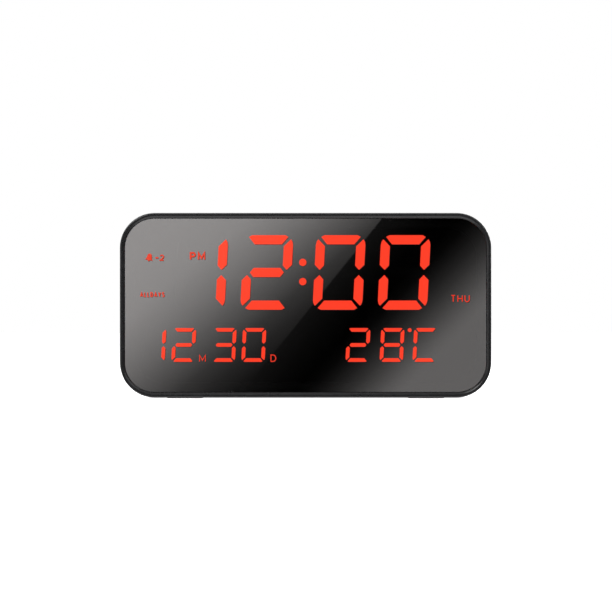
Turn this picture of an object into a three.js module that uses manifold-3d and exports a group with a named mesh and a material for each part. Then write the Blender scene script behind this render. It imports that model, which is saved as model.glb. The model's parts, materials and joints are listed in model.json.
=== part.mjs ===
// LED alarm clock with a half-mirrored face: front bezel and lens, display stack, boards, rear housing
// with a battery compartment, rear buttons, top snooze bar, feet and screws.
//
// Millimetres, +Z up. The face looks along -Y and +X is to the right of someone who reads it.
// The origin is under the middle of the clock, on the surface that its feet stand on.
// Everything is laid out from the middle of the face, and one group lifts it onto the feet.

import * as THREE from 'three';
import { mergeVertices } from 'three/addons/utils/BufferGeometryUtils.js';
import Module from 'manifold-3d';

const wasm = await Module();
wasm.setup();

// ---- Driving dimensions ----

const WIDTH = 160;
const HEIGHT = 79.6;
const CORNER = 15;
const FOOT_STAND = 0.3;

// Planes along Y, front to back.
const FACE_Y = -18;
const LENS_FRONT_Y = -17.3;
const LENS_BACK_Y = -15.3;
const LEDGE_FRONT_Y = -14.9;
const LEDGE_BACK_Y = -12.9;
const MASK_BACK_Y = -10.9;
const DIFFUSER_BACK_Y = -9.9;
const TONGUE_Y = -9;
const BOARD_FRONT_Y = -7.6;
const SPLIT_Y = -6;
const TUB_FLOOR_Y = 4.2;
const BUTTON_BOARD_FRONT_Y = 9.5;
const BUTTON_BOARD_BACK_Y = 11.1;
const REAR_WALL_INNER_Y = 14.8;
const REAR_Y = 17;
const BUTTON_TOP_Y = 18;

// Walls and clearances.
const RIM_SIDE = 2;
const RIM_TOP = 2.3;
const SKIRT_WALL = 1.6;
const HOUSING_INSET = 1.2;
const HOUSING_WALL = 2.2;
const BEZEL_EDGE = 0.85;
const LENS_FLARE = { width: 1.1, depth: 0.7 };
const GAP = 0.3;
const CELL_GAP = 0.12;

// Corner screws: the bezel's bosses, the housing's posts, and the seat for each head.
const SCREW = { x: 70, z: 30, shank: 1.2, head: 2.4, tipY: -11, seatY: SPLIT_Y + 2.5 };
const BOSS_RADIUS = 3;
const POST_RADIUS = 4.2;

// Display: the middle of each character cell, and the size of its strokes.
const SLANT = 0.0524;
const TIME = { height: 32.5, width: 21.7, stroke: 4.3, z: 14.15, centres: [-44.8, -16.7, 14.5, 42.5] };
const DATE = { height: 14.8, width: 10.3, stroke: 1.8, z: -17.1, centres: [-65.4, -52.5, -35.1, -22.3] };
const TEMPERATURE = { ...DATE, centres: [22.6, 37.3, 51.5] };
const COLON = { x: -1.2, z: [18.5, 10.2], radius: 1.75 };
const DEGREE = { x: 44.9, z: [-10.7], radius: 0.95 };
const LEGEND = {
  bell: { x: -67.4, z: 20.6, width: 4.2, height: 4.2 },
  offset: { x: -62.9, z: 20.6, width: 4.4, height: 3.6 },
  allDays: { x: -66.1, z: 4.65, width: 11.4, height: 3 },
  pm: { x: -46.5, z: 21.2, width: 7.6, height: 4.6 },
  month: { x: -44.4, z: -22.9, width: 3.8, height: 4 },
  day: { x: -13.9, z: -22.8, width: 3.6, height: 4 },
  weekday: { x: 66.7, z: 2.9, width: 9.2, height: 4 },
};

// Controls on the back and on top.
const BUTTON_NAMES = ['alarm', 'down', 'up', 'mode', 'set'];
const BUTTON_PITCH = 13;
const BUTTON_Z = 19;
const BUTTON_RADIUS = 3.3;
const USB = { x: 48, z: 19, width: 9, height: 3.2, wall: 0.35 };
const SNOOZE = { y: 7, length: 46, width: 10, top: 39.4 };
const BUZZER = { x: -52, z: -12, radius: 6, depth: 5, hole: 0.8, holeCircle: 3.2 };
const VENT = { x: 51, y: -1, width: 1.4, length: 8, pitch: 3, count: 5 };
const BOARD_SCREWS = [{ x: -31, z: 27 }, { x: 40, z: 27 }];

// Battery compartment: three AAA cells side by side, lying along X.
const CELL = { radius: 5.15, length: 44.5, nub: 0.8, nubRadius: 1.9, edge: 0.5, y: 9.5, pitch: 11.2 };
const TUB = { halfLength: 24.5, z: -15.75, halfHeight: 17, wall: 3.3, bottomZ: -37 };
const PLATE = 0.4;
const DOOR = { halfWidth: 27, top: 3.7, hingeZ: -34.2, thickness: 1.8 };
const DOOR_HINGE_Y = REAR_Y - DOOR.thickness / 2;

// Feet.
const FOOT = { x: 52, length: 16, width: 6, recess: 0.7 };
const FOOT_FRONT_Y = -12.5;
const FOOT_REAR_Y = 9;

// ---- Shape helpers ----

// Segments in a quarter of a large rounded corner, segments in other curves, and sides of a disc.
const CORNER_STEPS = 6;
const ROUND = 3;
const SIDES = 16;

// How far a cutting solid runs past the face that it opens, and joined solids run into each other.
const PAST = 1;
const OVERLAP = 0.5;

function roundedRect(width, height, radius, x = 0, y = 0) {
  const [left, right] = [x - width / 2 + radius, x + width / 2 - radius];
  const [low, high] = [y - height / 2 + radius, y + height / 2 - radius];
  const shape = new THREE.Shape();
  shape.absarc(right, low, radius, -Math.PI / 2, 0, false);
  shape.absarc(right, high, radius, 0, Math.PI / 2, false);
  shape.absarc(left, high, radius, Math.PI / 2, Math.PI, false);
  shape.absarc(left, low, radius, Math.PI, 1.5 * Math.PI, false);
  shape.closePath();
  return shape;
}

function stadium(length, width, x = 0, y = 0) {
  const reach = (length - width) / 2;
  const shape = new THREE.Shape();
  shape.absarc(x + reach, y, width / 2, -Math.PI / 2, Math.PI / 2, false);
  shape.absarc(x - reach, y, width / 2, Math.PI / 2, 1.5 * Math.PI, false);
  shape.closePath();
  return shape;
}

function disc(radius, x = 0, y = 0, sides = SIDES) {
  const points = [];
  for (let i = 0; i < sides; i++) {
    const angle = (2 * Math.PI * i) / sides;
    points.push(new THREE.Vector2(x + radius * Math.cos(angle), y + radius * Math.sin(angle)));
  }
  return new THREE.Shape(points);
}

// A closed solid from a closed geometry, ready to be joined and cut.
function solid(geometry) {
  const bare = geometry.clone();
  bare.deleteAttribute('normal');
  bare.deleteAttribute('uv');
  const merged = mergeVertices(bare, 1e-4);
  const vertProperties = new Float32Array(merged.attributes.position.array);
  const triVerts = new Uint32Array(merged.index.array);
  return new wasm.Manifold(new wasm.Mesh({ numProp: 3, vertProperties, triVerts }));
}

// An extrusion along Z from zero. An edge rounds, or with one step chamfers, the rim of both ends.
function extrusion(shape, length, { edge = 0, edgeDepth = edge, steps = 3, round = ROUND }) {
  const geometry = new THREE.ExtrudeGeometry(shape, {
    depth: length - 2 * edgeDepth,
    bevelEnabled: edge > 0,
    bevelThickness: edgeDepth,
    bevelSize: edge,
    bevelOffset: -edge,
    bevelSegments: steps,
    curveSegments: round,
  });
  geometry.translate(0, 0, edgeDepth);
  return geometry;
}

// Extrudes an outline drawn in the XZ plane from one Y to another.
function alongY(shape, y0, y1, options = {}) {
  const geometry = extrusion(shape, y1 - y0, options);
  geometry.rotateX(Math.PI / 2);
  geometry.translate(0, y1, 0);
  return solid(geometry);
}

// Extrudes an outline drawn in the XY plane from one Z to another.
function alongZ(shape, z0, z1, options = {}) {
  const geometry = extrusion(shape, z1 - z0, options);
  geometry.translate(0, 0, z0);
  return solid(geometry);
}

// Extrudes an outline drawn in the YZ plane between two X, given in either order.
function alongX(shape, xa, xb) {
  const x0 = Math.min(xa, xb);
  const geometry = extrusion(shape, Math.abs(xb - xa), {});
  geometry.rotateX(Math.PI / 2);
  geometry.rotateZ(Math.PI / 2);
  geometry.translate(x0, 0, 0);
  return solid(geometry);
}

// A box between two X, two Y and two Z, each pair given in either order.
function box(x0, x1, y0, y1, z0, z1) {
  const geometry = new THREE.BoxGeometry(Math.abs(x1 - x0), Math.abs(y1 - y0), Math.abs(z1 - z0));
  geometry.translate((x0 + x1) / 2, (y0 + y1) / 2, (z0 + z1) / 2);
  return solid(geometry);
}

// A box of a given size round a centre in X and Z.
function boxAt(x, z, width, height, y0, y1) {
  return box(x - width / 2, x + width / 2, y0, y1, z - height / 2, z + height / 2);
}

// Turns a profile of [radius, y] points round an axis along Y through (x, z).
function turned(profile, x, z) {
  const geometry = new THREE.LatheGeometry(profile.map(([r, y]) => new THREE.Vector2(r, y)), SIDES);
  geometry.translate(x, 0, z);
  return solid(geometry);
}

function rod(radius, x, z, y0, y1) {
  return alongY(disc(radius, x, z), y0, y1);
}

function joined(solids) {
  return solids.reduce((whole, next) => whole.add(next));
}

function cut(whole, tools) {
  return tools.reduce((rest, tool) => rest.subtract(tool), whole);
}

const clock = new THREE.Group();
const faceGroup = new THREE.Group();
faceGroup.position.z = FOOT_STAND + HEIGHT / 2;
clock.add(faceGroup);

const PLASTIC = { color: 0x1b1b1c, roughness: 0.45, metalness: 0 };
const SOFT_BLACK = { color: 0x101011, roughness: 0.8, metalness: 0 };
const METAL = { color: 0xb9bcc0, roughness: 0.35, metalness: 1 };
const BOARD_GREEN = { color: 0x1c4a32, roughness: 0.5, metalness: 0 };
const DIFFUSER_RED = { color: 0xff3a22, roughness: 0.6, metalness: 0, emissive: 0xff2410 };

function place(name, form, finish) {
  const mesh = form.getMesh();
  const geometry = new THREE.BufferGeometry();
  geometry.setAttribute('position', new THREE.BufferAttribute(mesh.vertProperties, 3));
  geometry.setIndex(new THREE.BufferAttribute(mesh.triVerts, 1));
  geometry.computeVertexNormals();
  const piece = new THREE.Mesh(geometry, new THREE.MeshStandardMaterial(finish));
  piece.name = name;
  faceGroup.add(piece);
}

// ---- Seven-segment characters ----

// The seven strokes of one character, a to g, as outlines in XZ. Narrow mitred bridges part them, and
// the character's outer corners are cut back.
function strokes({ height, width, stroke: t, z }, centre) {
  const [hw, hh] = [width / 2, height / 2];
  const lying = [
    [-hw + 0.48 * t, hh - 0.2 * t], [-hw + 0.85 * t, hh], [hw - 0.85 * t, hh],
    [hw - 0.48 * t, hh - 0.2 * t], [hw - 1.14 * t, hh - t], [-hw + 1.14 * t, hh - t],
  ];
  const standing = [
    [hw, hh - t], [hw - 0.075 * t, hh - 0.66 * t], [hw - 0.255 * t, hh - 0.385 * t],
    [hw - t, hh - 1.14 * t], [hw - t, 0.68 * t], [hw - 0.55 * t, 0.2 * t], [hw, 0.75 * t],
  ];
  const middle = [
    [-hw + 0.77 * t, 0], [-hw + 1.16 * t, t / 2], [hw - 1.16 * t, t / 2],
    [hw - 0.77 * t, 0], [hw - 1.16 * t, -t / 2], [-hw + 1.16 * t, -t / 2],
  ];
  const layout = [
    [1, 1, lying], [1, 1, standing], [1, -1, standing], [1, -1, lying],
    [-1, -1, standing], [-1, 1, standing], [1, 1, middle],
  ];
  return layout.map(([signX, signZ, points]) => points.map(([x, dz]) => (
    new THREE.Vector2(centre + signX * x + SLANT * signZ * dz, z + signZ * dz))));
}

// Moves every side of a convex outline inwards, or outwards when the distance is negative.
function inset(points, distance) {
  const turn = THREE.ShapeUtils.area(points) > 0 ? 1 : -1;
  return points.map((point, i) => {
    const before = points[(i + points.length - 1) % points.length];
    const after = points[(i + 1) % points.length];
    const into = point.clone().sub(before).normalize();
    const out = after.clone().sub(point).normalize();
    const normal = new THREE.Vector2(-(into.y + out.y), into.x + out.x).multiplyScalar(turn);
    const side = new THREE.Vector2(-into.y, into.x).multiplyScalar(turn);
    return point.clone().add(normal.multiplyScalar(distance / normal.dot(side)));
  });
}

function windowOf({ x, z, width, height }) {
  return [[-1, -1], [1, -1], [1, 1], [-1, 1]].map(([i, k]) => (
    new THREE.Vector2(x + (i * width) / 2, z + (k * height) / 2)));
}

function dotsOf({ x, z, radius }) {
  return z.map((height) => disc(radius, x, height).getPoints());
}

function outlinesOf(character) {
  return character.centres.flatMap((centre) => strokes(character, centre));
}

const DISPLAY = {
  time_diffuser: [...outlinesOf(TIME), ...dotsOf(COLON), windowOf(LEGEND.pm)],
  date_diffuser: [...outlinesOf(DATE), windowOf(LEGEND.month), windowOf(LEGEND.day)],
  temperature_diffuser: [...outlinesOf(TEMPERATURE), ...dotsOf(DEGREE)],
  weekday_diffuser: [windowOf(LEGEND.weekday)],
  alarm_legend_diffuser: [windowOf(LEGEND.bell), windowOf(LEGEND.offset), windowOf(LEGEND.allDays)],
};

// ---- Front: bezel, lens, tape ----

const LENS_POCKET = { width: WIDTH - 2 * RIM_SIDE, height: HEIGHT - 2 * RIM_TOP, radius: 12.8 };
const LEDGE_OPENING = { width: 147.2, height: 66.2, radius: 12 };
const SCREW_CORNERS = [[-1, -1], [1, -1], [1, 1], [-1, 1]].map(([i, k]) => [i * SCREW.x, k * SCREW.z]);

function panel({ width, height, radius }, margin = 0) {
  return roundedRect(width + 2 * margin, height + 2 * margin, radius + margin);
}

function makeFrontBezel() {
  const bore = { radius: 1.35, floorY: -11.5 };
  const corners = { round: CORNER_STEPS };
  const shape = roundedRect(WIDTH, HEIGHT, CORNER);
  const outer = alongY(shape, FACE_Y, SPLIT_Y + BEZEL_EDGE, { edge: BEZEL_EDGE, ...corners });
  const skirt = roundedRect(WIDTH - 2 * SKIRT_WALL, HEIGHT - 2 * SKIRT_WALL, CORNER - SKIRT_WALL);
  const flare = { edge: LENS_FLARE.width, edgeDepth: LENS_FLARE.depth, steps: 1, ...corners };
  const ring = cut(outer, [
    box(-WIDTH, WIDTH, SPLIT_Y, SPLIT_Y + 2 * BEZEL_EDGE, -HEIGHT, HEIGHT),
    alongY(panel(LENS_POCKET, LENS_FLARE.width), FACE_Y - 2 * PAST, LENS_FRONT_Y, flare),
    alongY(panel(LENS_POCKET), LENS_FRONT_Y - OVERLAP, LEDGE_FRONT_Y, corners),
    alongY(panel(LEDGE_OPENING), LEDGE_FRONT_Y - PAST, LEDGE_BACK_Y + PAST, corners),
    alongY(skirt, LEDGE_BACK_Y, SPLIT_Y + PAST, corners),
  ]);
  const bosses = SCREW_CORNERS.map(([x, z]) => rod(BOSS_RADIUS, x, z, LEDGE_BACK_Y, SPLIT_Y));
  const bores = SCREW_CORNERS.map(([x, z]) => rod(bore.radius, x, z, bore.floorY, SPLIT_Y + PAST));
  return cut(joined([ring, ...bosses]), [...bores, ...footRecesses(FOOT_FRONT_Y, -HEIGHT / 2)]);
}

function makeLens() {
  const gap = 0.15;
  return alongY(panel(LENS_POCKET, -gap), LENS_FRONT_Y, LENS_BACK_Y, { round: CORNER_STEPS });
}

function makeLensTape() {
  const [outerMargin, innerMargin] = [-0.8, 0.4];
  const outer = alongY(panel(LENS_POCKET, outerMargin), LENS_BACK_Y, LEDGE_FRONT_Y);
  return outer.subtract(alongY(panel(LEDGE_OPENING, innerMargin), LENS_BACK_Y - PAST, LEDGE_FRONT_Y + PAST));
}

// ---- Display stack: mask, diffusers, board ----

function makeSegmentMask() {
  const flange = { width: 153, height: 72, radius: 11.5 };
  const rimWall = 1.5;
  const block = alongY(panel(LEDGE_OPENING, -GAP), LEDGE_FRONT_Y, MASK_BACK_Y);
  const plate = alongY(panel(flange), LEDGE_BACK_Y, MASK_BACK_Y);
  const rim = alongY(panel(flange), MASK_BACK_Y - OVERLAP, BOARD_FRONT_Y)
    .subtract(alongY(panel(flange, -rimWall), MASK_BACK_Y, BOARD_FRONT_Y + PAST));
  const holes = Object.values(DISPLAY).flat().map((outline) => (
    alongY(new THREE.Shape(outline), LEDGE_FRONT_Y - PAST, MASK_BACK_Y + PAST)));
  const notches = SCREW_CORNERS.map(([x, z]) => (
    rod(BOSS_RADIUS + GAP, x, z, LEDGE_BACK_Y, BOARD_FRONT_Y + PAST)));
  return cut(joined([block, plate, rim]), [...holes, ...notches]);
}

// One moulding: a backing sheet that carries a raised island in each cell.
function makeDiffuser(outlines) {
  const margin = 1;
  const setBack = 0.2;
  const reach = new THREE.Box2().setFromPoints(outlines.flat()).expandByScalar(margin);
  const backing = box(reach.min.x, reach.max.x, MASK_BACK_Y, DIFFUSER_BACK_Y, reach.min.y, reach.max.y);
  const islands = outlines.map((outline) => (
    alongY(new THREE.Shape(inset(outline, CELL_GAP)), LEDGE_FRONT_Y + setBack, MASK_BACK_Y + OVERLAP)));
  return joined([backing, ...islands]);
}

// The board carries one LED chip under the middle of each cell.
function makeDisplayBoard() {
  const chip = { width: 1.6, height: 0.8, depth: 0.8 };
  const notchGap = 0.2;
  const board = alongY(panel({ width: 152, height: 71, radius: 11 }), BOARD_FRONT_Y, SPLIT_Y);
  const chips = Object.values(DISPLAY).flat().map((outline) => {
    const middle = outline.reduce((sum, p) => sum.add(p), new THREE.Vector2()).divideScalar(outline.length);
    const front = BOARD_FRONT_Y - chip.depth;
    return boxAt(middle.x, middle.y, chip.width, chip.height, front, BOARD_FRONT_Y + OVERLAP);
  });
  const notches = SCREW_CORNERS.map(([x, z]) => (
    rod(BOSS_RADIUS + notchGap, x, z, BOARD_FRONT_Y - PAST, SPLIT_Y + PAST)));
  return cut(joined([board, ...chips]), notches);
}

// A small-outline controller with a row of leads above and below its body.
function makeChip() {
  const [x, z, width, height] = [-20, 10, 10, 7.4];
  const lead = { pitch: 1.27, count: 8, width: 0.4, reach: 1.2, height: 1 };
  const [bodyFront, bodyBack] = [SPLIT_Y + 0.2, SPLIT_Y + 2.2];
  const leads = [];
  for (let i = 0; i < lead.count; i++) {
    const leadX = x + (i - (lead.count - 1) / 2) * lead.pitch;
    leads.push(boxAt(leadX, z, lead.width, height + 2 * lead.reach, SPLIT_Y, SPLIT_Y + lead.height));
  }
  const body = alongY(roundedRect(width, height, 0.3, x, z), bodyFront, bodyBack, { round: 1 });
  return joined([body, ...leads]);
}

// A cylinder crystal that lies on the board with its two leads towards the chip.
function makeCrystal() {
  const [x, z, radius, length] = [-4, 10, 1.5, 8];
  const lead = { offset: 0.6, width: 0.4, height: 1.2, from: x - 2, to: x + OVERLAP };
  const can = rod(radius, 0, 0, 0, length).rotate([0, 0, -90]).translate([x, SPLIT_Y + radius, z]);
  const leads = [-lead.offset, lead.offset].map((dz) => box(
    lead.from, lead.to, SPLIT_Y, SPLIT_Y + lead.height, z + dz - lead.width / 2, z + dz + lead.width / 2));
  return joined([can, ...leads]);
}

// An electrolytic can with the groove that holds its rubber plug.
function makeCapacitor() {
  const [x, z, radius, height] = [34, 8, 2.5, 6.5];
  const groove = { depth: 0.3, start: 0.8, end: 1.4 };
  const rim = 0.3;
  const profile = [
    [0, 0], [radius, 0], [radius, groove.start], [radius - groove.depth, (groove.start + groove.end) / 2],
    [radius, groove.end], [radius, height - rim], [radius - rim, height], [0, height],
  ];
  return turned(profile.map(([r, y]) => [r, SPLIT_Y + y]), x, z);
}

// A thermistor bead on two legs, next to the vents in the bottom wall.
function makeTemperatureSensor() {
  const [x, z, bead, reach] = [57, -29, 1.3, 5];
  const leg = { offset: 0.7, width: 0.4 };
  const geometry = new THREE.SphereGeometry(bead, 10, 6);
  geometry.translate(x, SPLIT_Y + reach, z);
  const legs = [-leg.offset, leg.offset].map((dx) => (
    boxAt(x + dx, z, leg.width, leg.width, SPLIT_Y, SPLIT_Y + reach)));
  return joined([solid(geometry), ...legs]);
}

// ---- Link between the boards ----

const LINK = { x: 18, z: 25, width: 10, depth: 3, height: 4, shoulder: 1.2 };

function makeConnector(y0, y1) {
  return boxAt(LINK.x, LINK.z, LINK.width + 2 * LINK.shoulder, LINK.height, y0, y1);
}

// A flat cable that dips between the two connectors.
function makeRibbon() {
  const halfThickness = 0.25;
  const [dip, shoulderDip, shoulderReach] = [3.4, 0.6, 2];
  const [y0, y1] = [SPLIT_Y + LINK.depth, BUTTON_BOARD_FRONT_Y - LINK.depth];
  const route = new THREE.SplineCurve([
    new THREE.Vector2(y0, LINK.z),
    new THREE.Vector2(y0 + shoulderReach, LINK.z - shoulderDip),
    new THREE.Vector2((y0 + y1) / 2, LINK.z - dip),
    new THREE.Vector2(y1 - shoulderReach, LINK.z - shoulderDip),
    new THREE.Vector2(y1, LINK.z),
  ]);
  const upper = [];
  const lower = [];
  const steps = 12;
  for (let i = 0; i <= steps; i++) {
    const point = route.getPoint(i / steps);
    upper.push(new THREE.Vector2(point.x, point.y + halfThickness));
    lower.unshift(new THREE.Vector2(point.x, point.y - halfThickness));
  }
  const strip = new THREE.Shape([...lower.reverse(), ...upper.reverse()]);
  return alongX(strip, LINK.x - LINK.width / 2, LINK.x + LINK.width / 2);
}

// ---- Button board and what it carries ----

function buttonX(index) {
  return (index - (BUTTON_NAMES.length - 1) / 2) * BUTTON_PITCH;
}

function makeButtonBoard() {
  const [x, z, width, height, radius] = [11, 21.5, 94, 19, 1.5];
  const shape = roundedRect(width, height, radius, x, z);
  const board = alongY(shape, BUTTON_BOARD_FRONT_Y, BUTTON_BOARD_BACK_Y, { round: 1 });
  return cut(board, BOARD_SCREWS.map((spot) => (
    rod(BOARD_SCREW.hole, spot.x, spot.z, BUTTON_BOARD_FRONT_Y - PAST, BUTTON_BOARD_BACK_Y + PAST))));
}

// A tactile switch: a square body with a round well, and the plunger that stands in it.
const SWITCH = { width: 6, height: 2, bore: 1.75, boreFloor: 0.6, plunger: 1.6, plungerFloor: 1.3 };

function makeSwitch(x) {
  const top = BUTTON_BOARD_BACK_Y + SWITCH.height;
  const body = boxAt(x, BUTTON_Z, SWITCH.width, SWITCH.width, BUTTON_BOARD_BACK_Y, top);
  return body.subtract(rod(SWITCH.bore, x, BUTTON_Z, BUTTON_BOARD_BACK_Y + SWITCH.boreFloor, top + PAST));
}

const CAP_BASE_Y = 13.9;

function makePlunger(x) {
  return rod(SWITCH.plunger, x, BUTTON_Z, BUTTON_BOARD_BACK_Y + SWITCH.plungerFloor, CAP_BASE_Y);
}

// A round cap with a collar that keeps it behind the wall.
function makeButton(x) {
  const [collar, edge] = [BUTTON_RADIUS + 0.9, 0.4];
  const collarTopY = REAR_WALL_INNER_Y - 0.2;
  return turned([
    [0, CAP_BASE_Y], [collar, CAP_BASE_Y], [collar, collarTopY], [BUTTON_RADIUS, collarTopY],
    [BUTTON_RADIUS, BUTTON_TOP_Y - edge], [BUTTON_RADIUS - edge, BUTTON_TOP_Y], [0, BUTTON_TOP_Y],
  ], x, BUTTON_Z);
}

// The snooze bar's switch hangs on the front of the button board, with its plunger upright.
const SNOOZE_SWITCH = {
  y: 7.7, z0: 27.5, z1: 31.5, width: 6, bore: 1.2, boreFloor: 1.2, plunger: 1.05, plungerDepth: 1.5,
};
const SNOOZE_COLLAR = { z0: 35.1, z1: 36.1, margin: 1.5 };

function makeSnoozeSwitch() {
  const { y, z0, z1, width, bore, boreFloor } = SNOOZE_SWITCH;
  const body = box(-width / 2, width / 2, 2 * y - BUTTON_BOARD_FRONT_Y, BUTTON_BOARD_FRONT_Y, z0, z1);
  return body.subtract(alongZ(disc(bore, 0, y), z0 + boreFloor, z1 + PAST));
}

function makeSnoozePlunger() {
  const { y, z1, plunger, plungerDepth } = SNOOZE_SWITCH;
  return alongZ(disc(plunger, 0, y), z1 - plungerDepth, SNOOZE_COLLAR.z0);
}

function makeSnoozeBar() {
  const { z0, z1, margin } = SNOOZE_COLLAR;
  const { length, width, y, top } = SNOOZE;
  const stem = alongZ(stadium(length, width, 0, y), z0, top, { edge: 0.5, steps: 2 });
  return stem.add(alongZ(stadium(length + 2 * margin, width + 2 * margin, 0, y), z0, z1));
}

// A 16-pin receptacle: an oval shell, open at the back of the clock, with a tongue inside.
function makeUsbSocket() {
  const { x, z, width, height, wall } = USB;
  const lip = REAR_Y - 0.2;
  const tongue = { width: 6.6, height: 0.7, setBack: 0.9 };
  const floor = BUTTON_BOARD_BACK_Y + 1;
  const shell = alongY(stadium(width, height, x, z), BUTTON_BOARD_BACK_Y, lip, { round: 2 });
  const hollow = stadium(width - 2 * wall, height - 2 * wall, x, z);
  return shell
    .subtract(alongY(hollow, floor, lip + PAST, { round: 2 }))
    .add(boxAt(x, z, tongue.width, tongue.height, floor - OVERLAP, lip - tongue.setBack));
}

const BOARD_SCREW = { head: 1.9, headTop: 1.7, headDepth: 1.3, shank: 0.9, hole: 1.1, tip: 0.4, reach: 2 };

function makeBoardScrew({ x, z }) {
  const { head, headTop, headDepth, shank, tip, reach } = BOARD_SCREW;
  const headY = BUTTON_BOARD_FRONT_Y - headDepth;
  const tipY = BUTTON_BOARD_BACK_Y + reach + shank - tip;
  const screw = turned([
    [0, headY], [headTop, headY], [head, BUTTON_BOARD_FRONT_Y], [shank, BUTTON_BOARD_FRONT_Y],
    [shank, BUTTON_BOARD_BACK_Y + reach], [tip, tipY], [0, tipY],
  ], x, z);
  return cut(screw, crossSlot(x, z, headY - PAST, headY + 0.6, 1.2));
}

function crossSlot(x, z, y0, y1, reach) {
  const half = 0.25;
  return [
    box(x - reach, x + reach, y0, y1, z - half, z + half),
    box(x - half, x + half, y0, y1, z - reach, z + reach),
  ];
}

function makeBuzzer() {
  const { x, z, radius, depth } = BUZZER;
  const front = REAR_WALL_INNER_Y - depth;
  const edge = 0.4;
  const soundPort = 1.2;
  const can = turned([
    [0, front], [radius - edge, front], [radius, front + edge],
    [radius, REAR_WALL_INNER_Y], [0, REAR_WALL_INNER_Y],
  ], x, z);
  return can.subtract(rod(soundPort, x, z, REAR_WALL_INNER_Y - soundPort, REAR_Y));
}

// ---- Rear housing ----

const HOUSING = {
  width: WIDTH - 2 * HOUSING_INSET,
  height: HEIGHT - 2 * HOUSING_INSET,
  radius: CORNER - HOUSING_INSET,
};
const RECESS = { halfWidth: DOOR.halfWidth + GAP, low: -35.6, high: 4 };
const [BEHIND_WALL_Y, PAST_REAR_Y] = [REAR_WALL_INNER_Y - PAST, REAR_Y + PAST];

function footRecesses(y, faceZ) {
  return [-FOOT.x, FOOT.x].map((x) => (
    alongZ(roundedRect(FOOT.length, FOOT.width, 2, x, y), faceZ - PAST, faceZ + FOOT.recess, { round: 1 })));
}

// A rounded tray whose tongue reaches inside the bezel's skirt.
function housingShell() {
  const edge = 4;
  const tongueInset = 0.6;
  const corners = { round: CORNER_STEPS };
  const outer = alongY(panel(HOUSING), SPLIT_Y - edge, REAR_Y, { edge, ...corners });
  const hollow = alongY(panel(HOUSING, -HOUSING_WALL), TONGUE_Y - PAST, REAR_WALL_INNER_Y, corners);
  return outer
    .subtract(box(-WIDTH, WIDTH, SPLIT_Y - 2 * edge, SPLIT_Y, -HEIGHT, HEIGHT))
    .add(alongY(panel(HOUSING, -tongueInset), TONGUE_Y, SPLIT_Y + PAST, corners))
    .subtract(hollow);
}

// Screw posts, and the ring that the buzzer sits in.
function housingPosts() {
  const boardPost = 2.4;
  const ring = { wall: 1.3, front: 11 };
  const foot = REAR_WALL_INNER_Y + OVERLAP;
  const { x: ringX, z: ringZ, radius } = BUZZER;
  return [
    ...SCREW_CORNERS.map(([x, z]) => rod(POST_RADIUS, x, z, SPLIT_Y, foot)),
    ...BOARD_SCREWS.map(({ x, z }) => rod(boardPost, x, z, BUTTON_BOARD_BACK_Y, foot)),
    rod(radius + GAP + ring.wall, ringX, ringZ, ring.front, foot)
      .subtract(rod(radius + GAP, ringX, ringZ, ring.front - PAST, REAR_WALL_INNER_Y)),
  ];
}

function screwHoles() {
  const cornerHoles = SCREW_CORNERS.flatMap(([x, z]) => [
    rod(SCREW.head + GAP, x, z, SCREW.seatY, PAST_REAR_Y),
    rod(SCREW.shank + GAP, x, z, SPLIT_Y - PAST, SCREW.seatY + OVERLAP),
  ]);
  const boardHole = { radius: 1, endY: REAR_WALL_INNER_Y - 0.4 };
  const boardHoles = BOARD_SCREWS.map(({ x, z }) => (
    rod(boardHole.radius, x, z, BUTTON_BOARD_BACK_Y - PAST, boardHole.endY)));
  return [...cornerHoles, ...boardHoles];
}

// The openings in the rear wall for the buttons, the power socket and the buzzer's sound.
function rearOpenings() {
  const openings = BUTTON_NAMES.map((name, i) => (
    rod(BUTTON_RADIUS + GAP, buttonX(i), BUTTON_Z, BEHIND_WALL_Y, PAST_REAR_Y)));
  const usbMargin = 0.5;
  const usbHole = stadium(USB.width + 2 * usbMargin, USB.height + 2 * usbMargin, USB.x, USB.z);
  openings.push(alongY(usbHole, BEHIND_WALL_Y, PAST_REAR_Y, { round: 2 }));
  openings.push(rod(BUZZER.hole, BUZZER.x, BUZZER.z, BEHIND_WALL_Y, PAST_REAR_Y));
  for (let i = 0; i < 6; i++) {
    const angle = (i * Math.PI) / 3;
    const x = BUZZER.x + BUZZER.holeCircle * Math.cos(angle);
    const z = BUZZER.z + BUZZER.holeCircle * Math.sin(angle);
    openings.push(rod(BUZZER.hole, x, z, BEHIND_WALL_Y, PAST_REAR_Y));
  }
  return openings;
}

// The slot for the snooze bar on top, the vents underneath, and the recesses for the rear feet.
function topAndBottomOpenings() {
  const wall = HOUSING_INSET + HOUSING_WALL + PAST;
  const topHole = stadium(SNOOZE.length + 2 * GAP, SNOOZE.width + 2 * GAP, 0, SNOOZE.y);
  const openings = [alongZ(topHole, HEIGHT / 2 - wall, HEIGHT / 2 + PAST)];
  for (let i = 0; i < VENT.count; i++) {
    const vent = roundedRect(VENT.width, VENT.length, 0.65, VENT.x + i * VENT.pitch, VENT.y);
    openings.push(alongZ(vent, -HEIGHT / 2, -HEIGHT / 2 + wall, { round: 1 }));
  }
  return [...openings, ...footRecesses(FOOT_REAR_Y, -HEIGHT / 2 + HOUSING_INSET)];
}

// The walls round the battery compartment, down to the bottom of the case.
function housingTub() {
  const outerX = TUB.halfLength + TUB.wall;
  const floor = 1.5;
  const topZ = TUB.z + TUB.halfHeight + TUB.wall;
  return box(-outerX, outerX, TUB_FLOOR_Y - floor, REAR_WALL_INNER_Y + 0.2, TUB.bottomZ, topZ);
}

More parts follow.
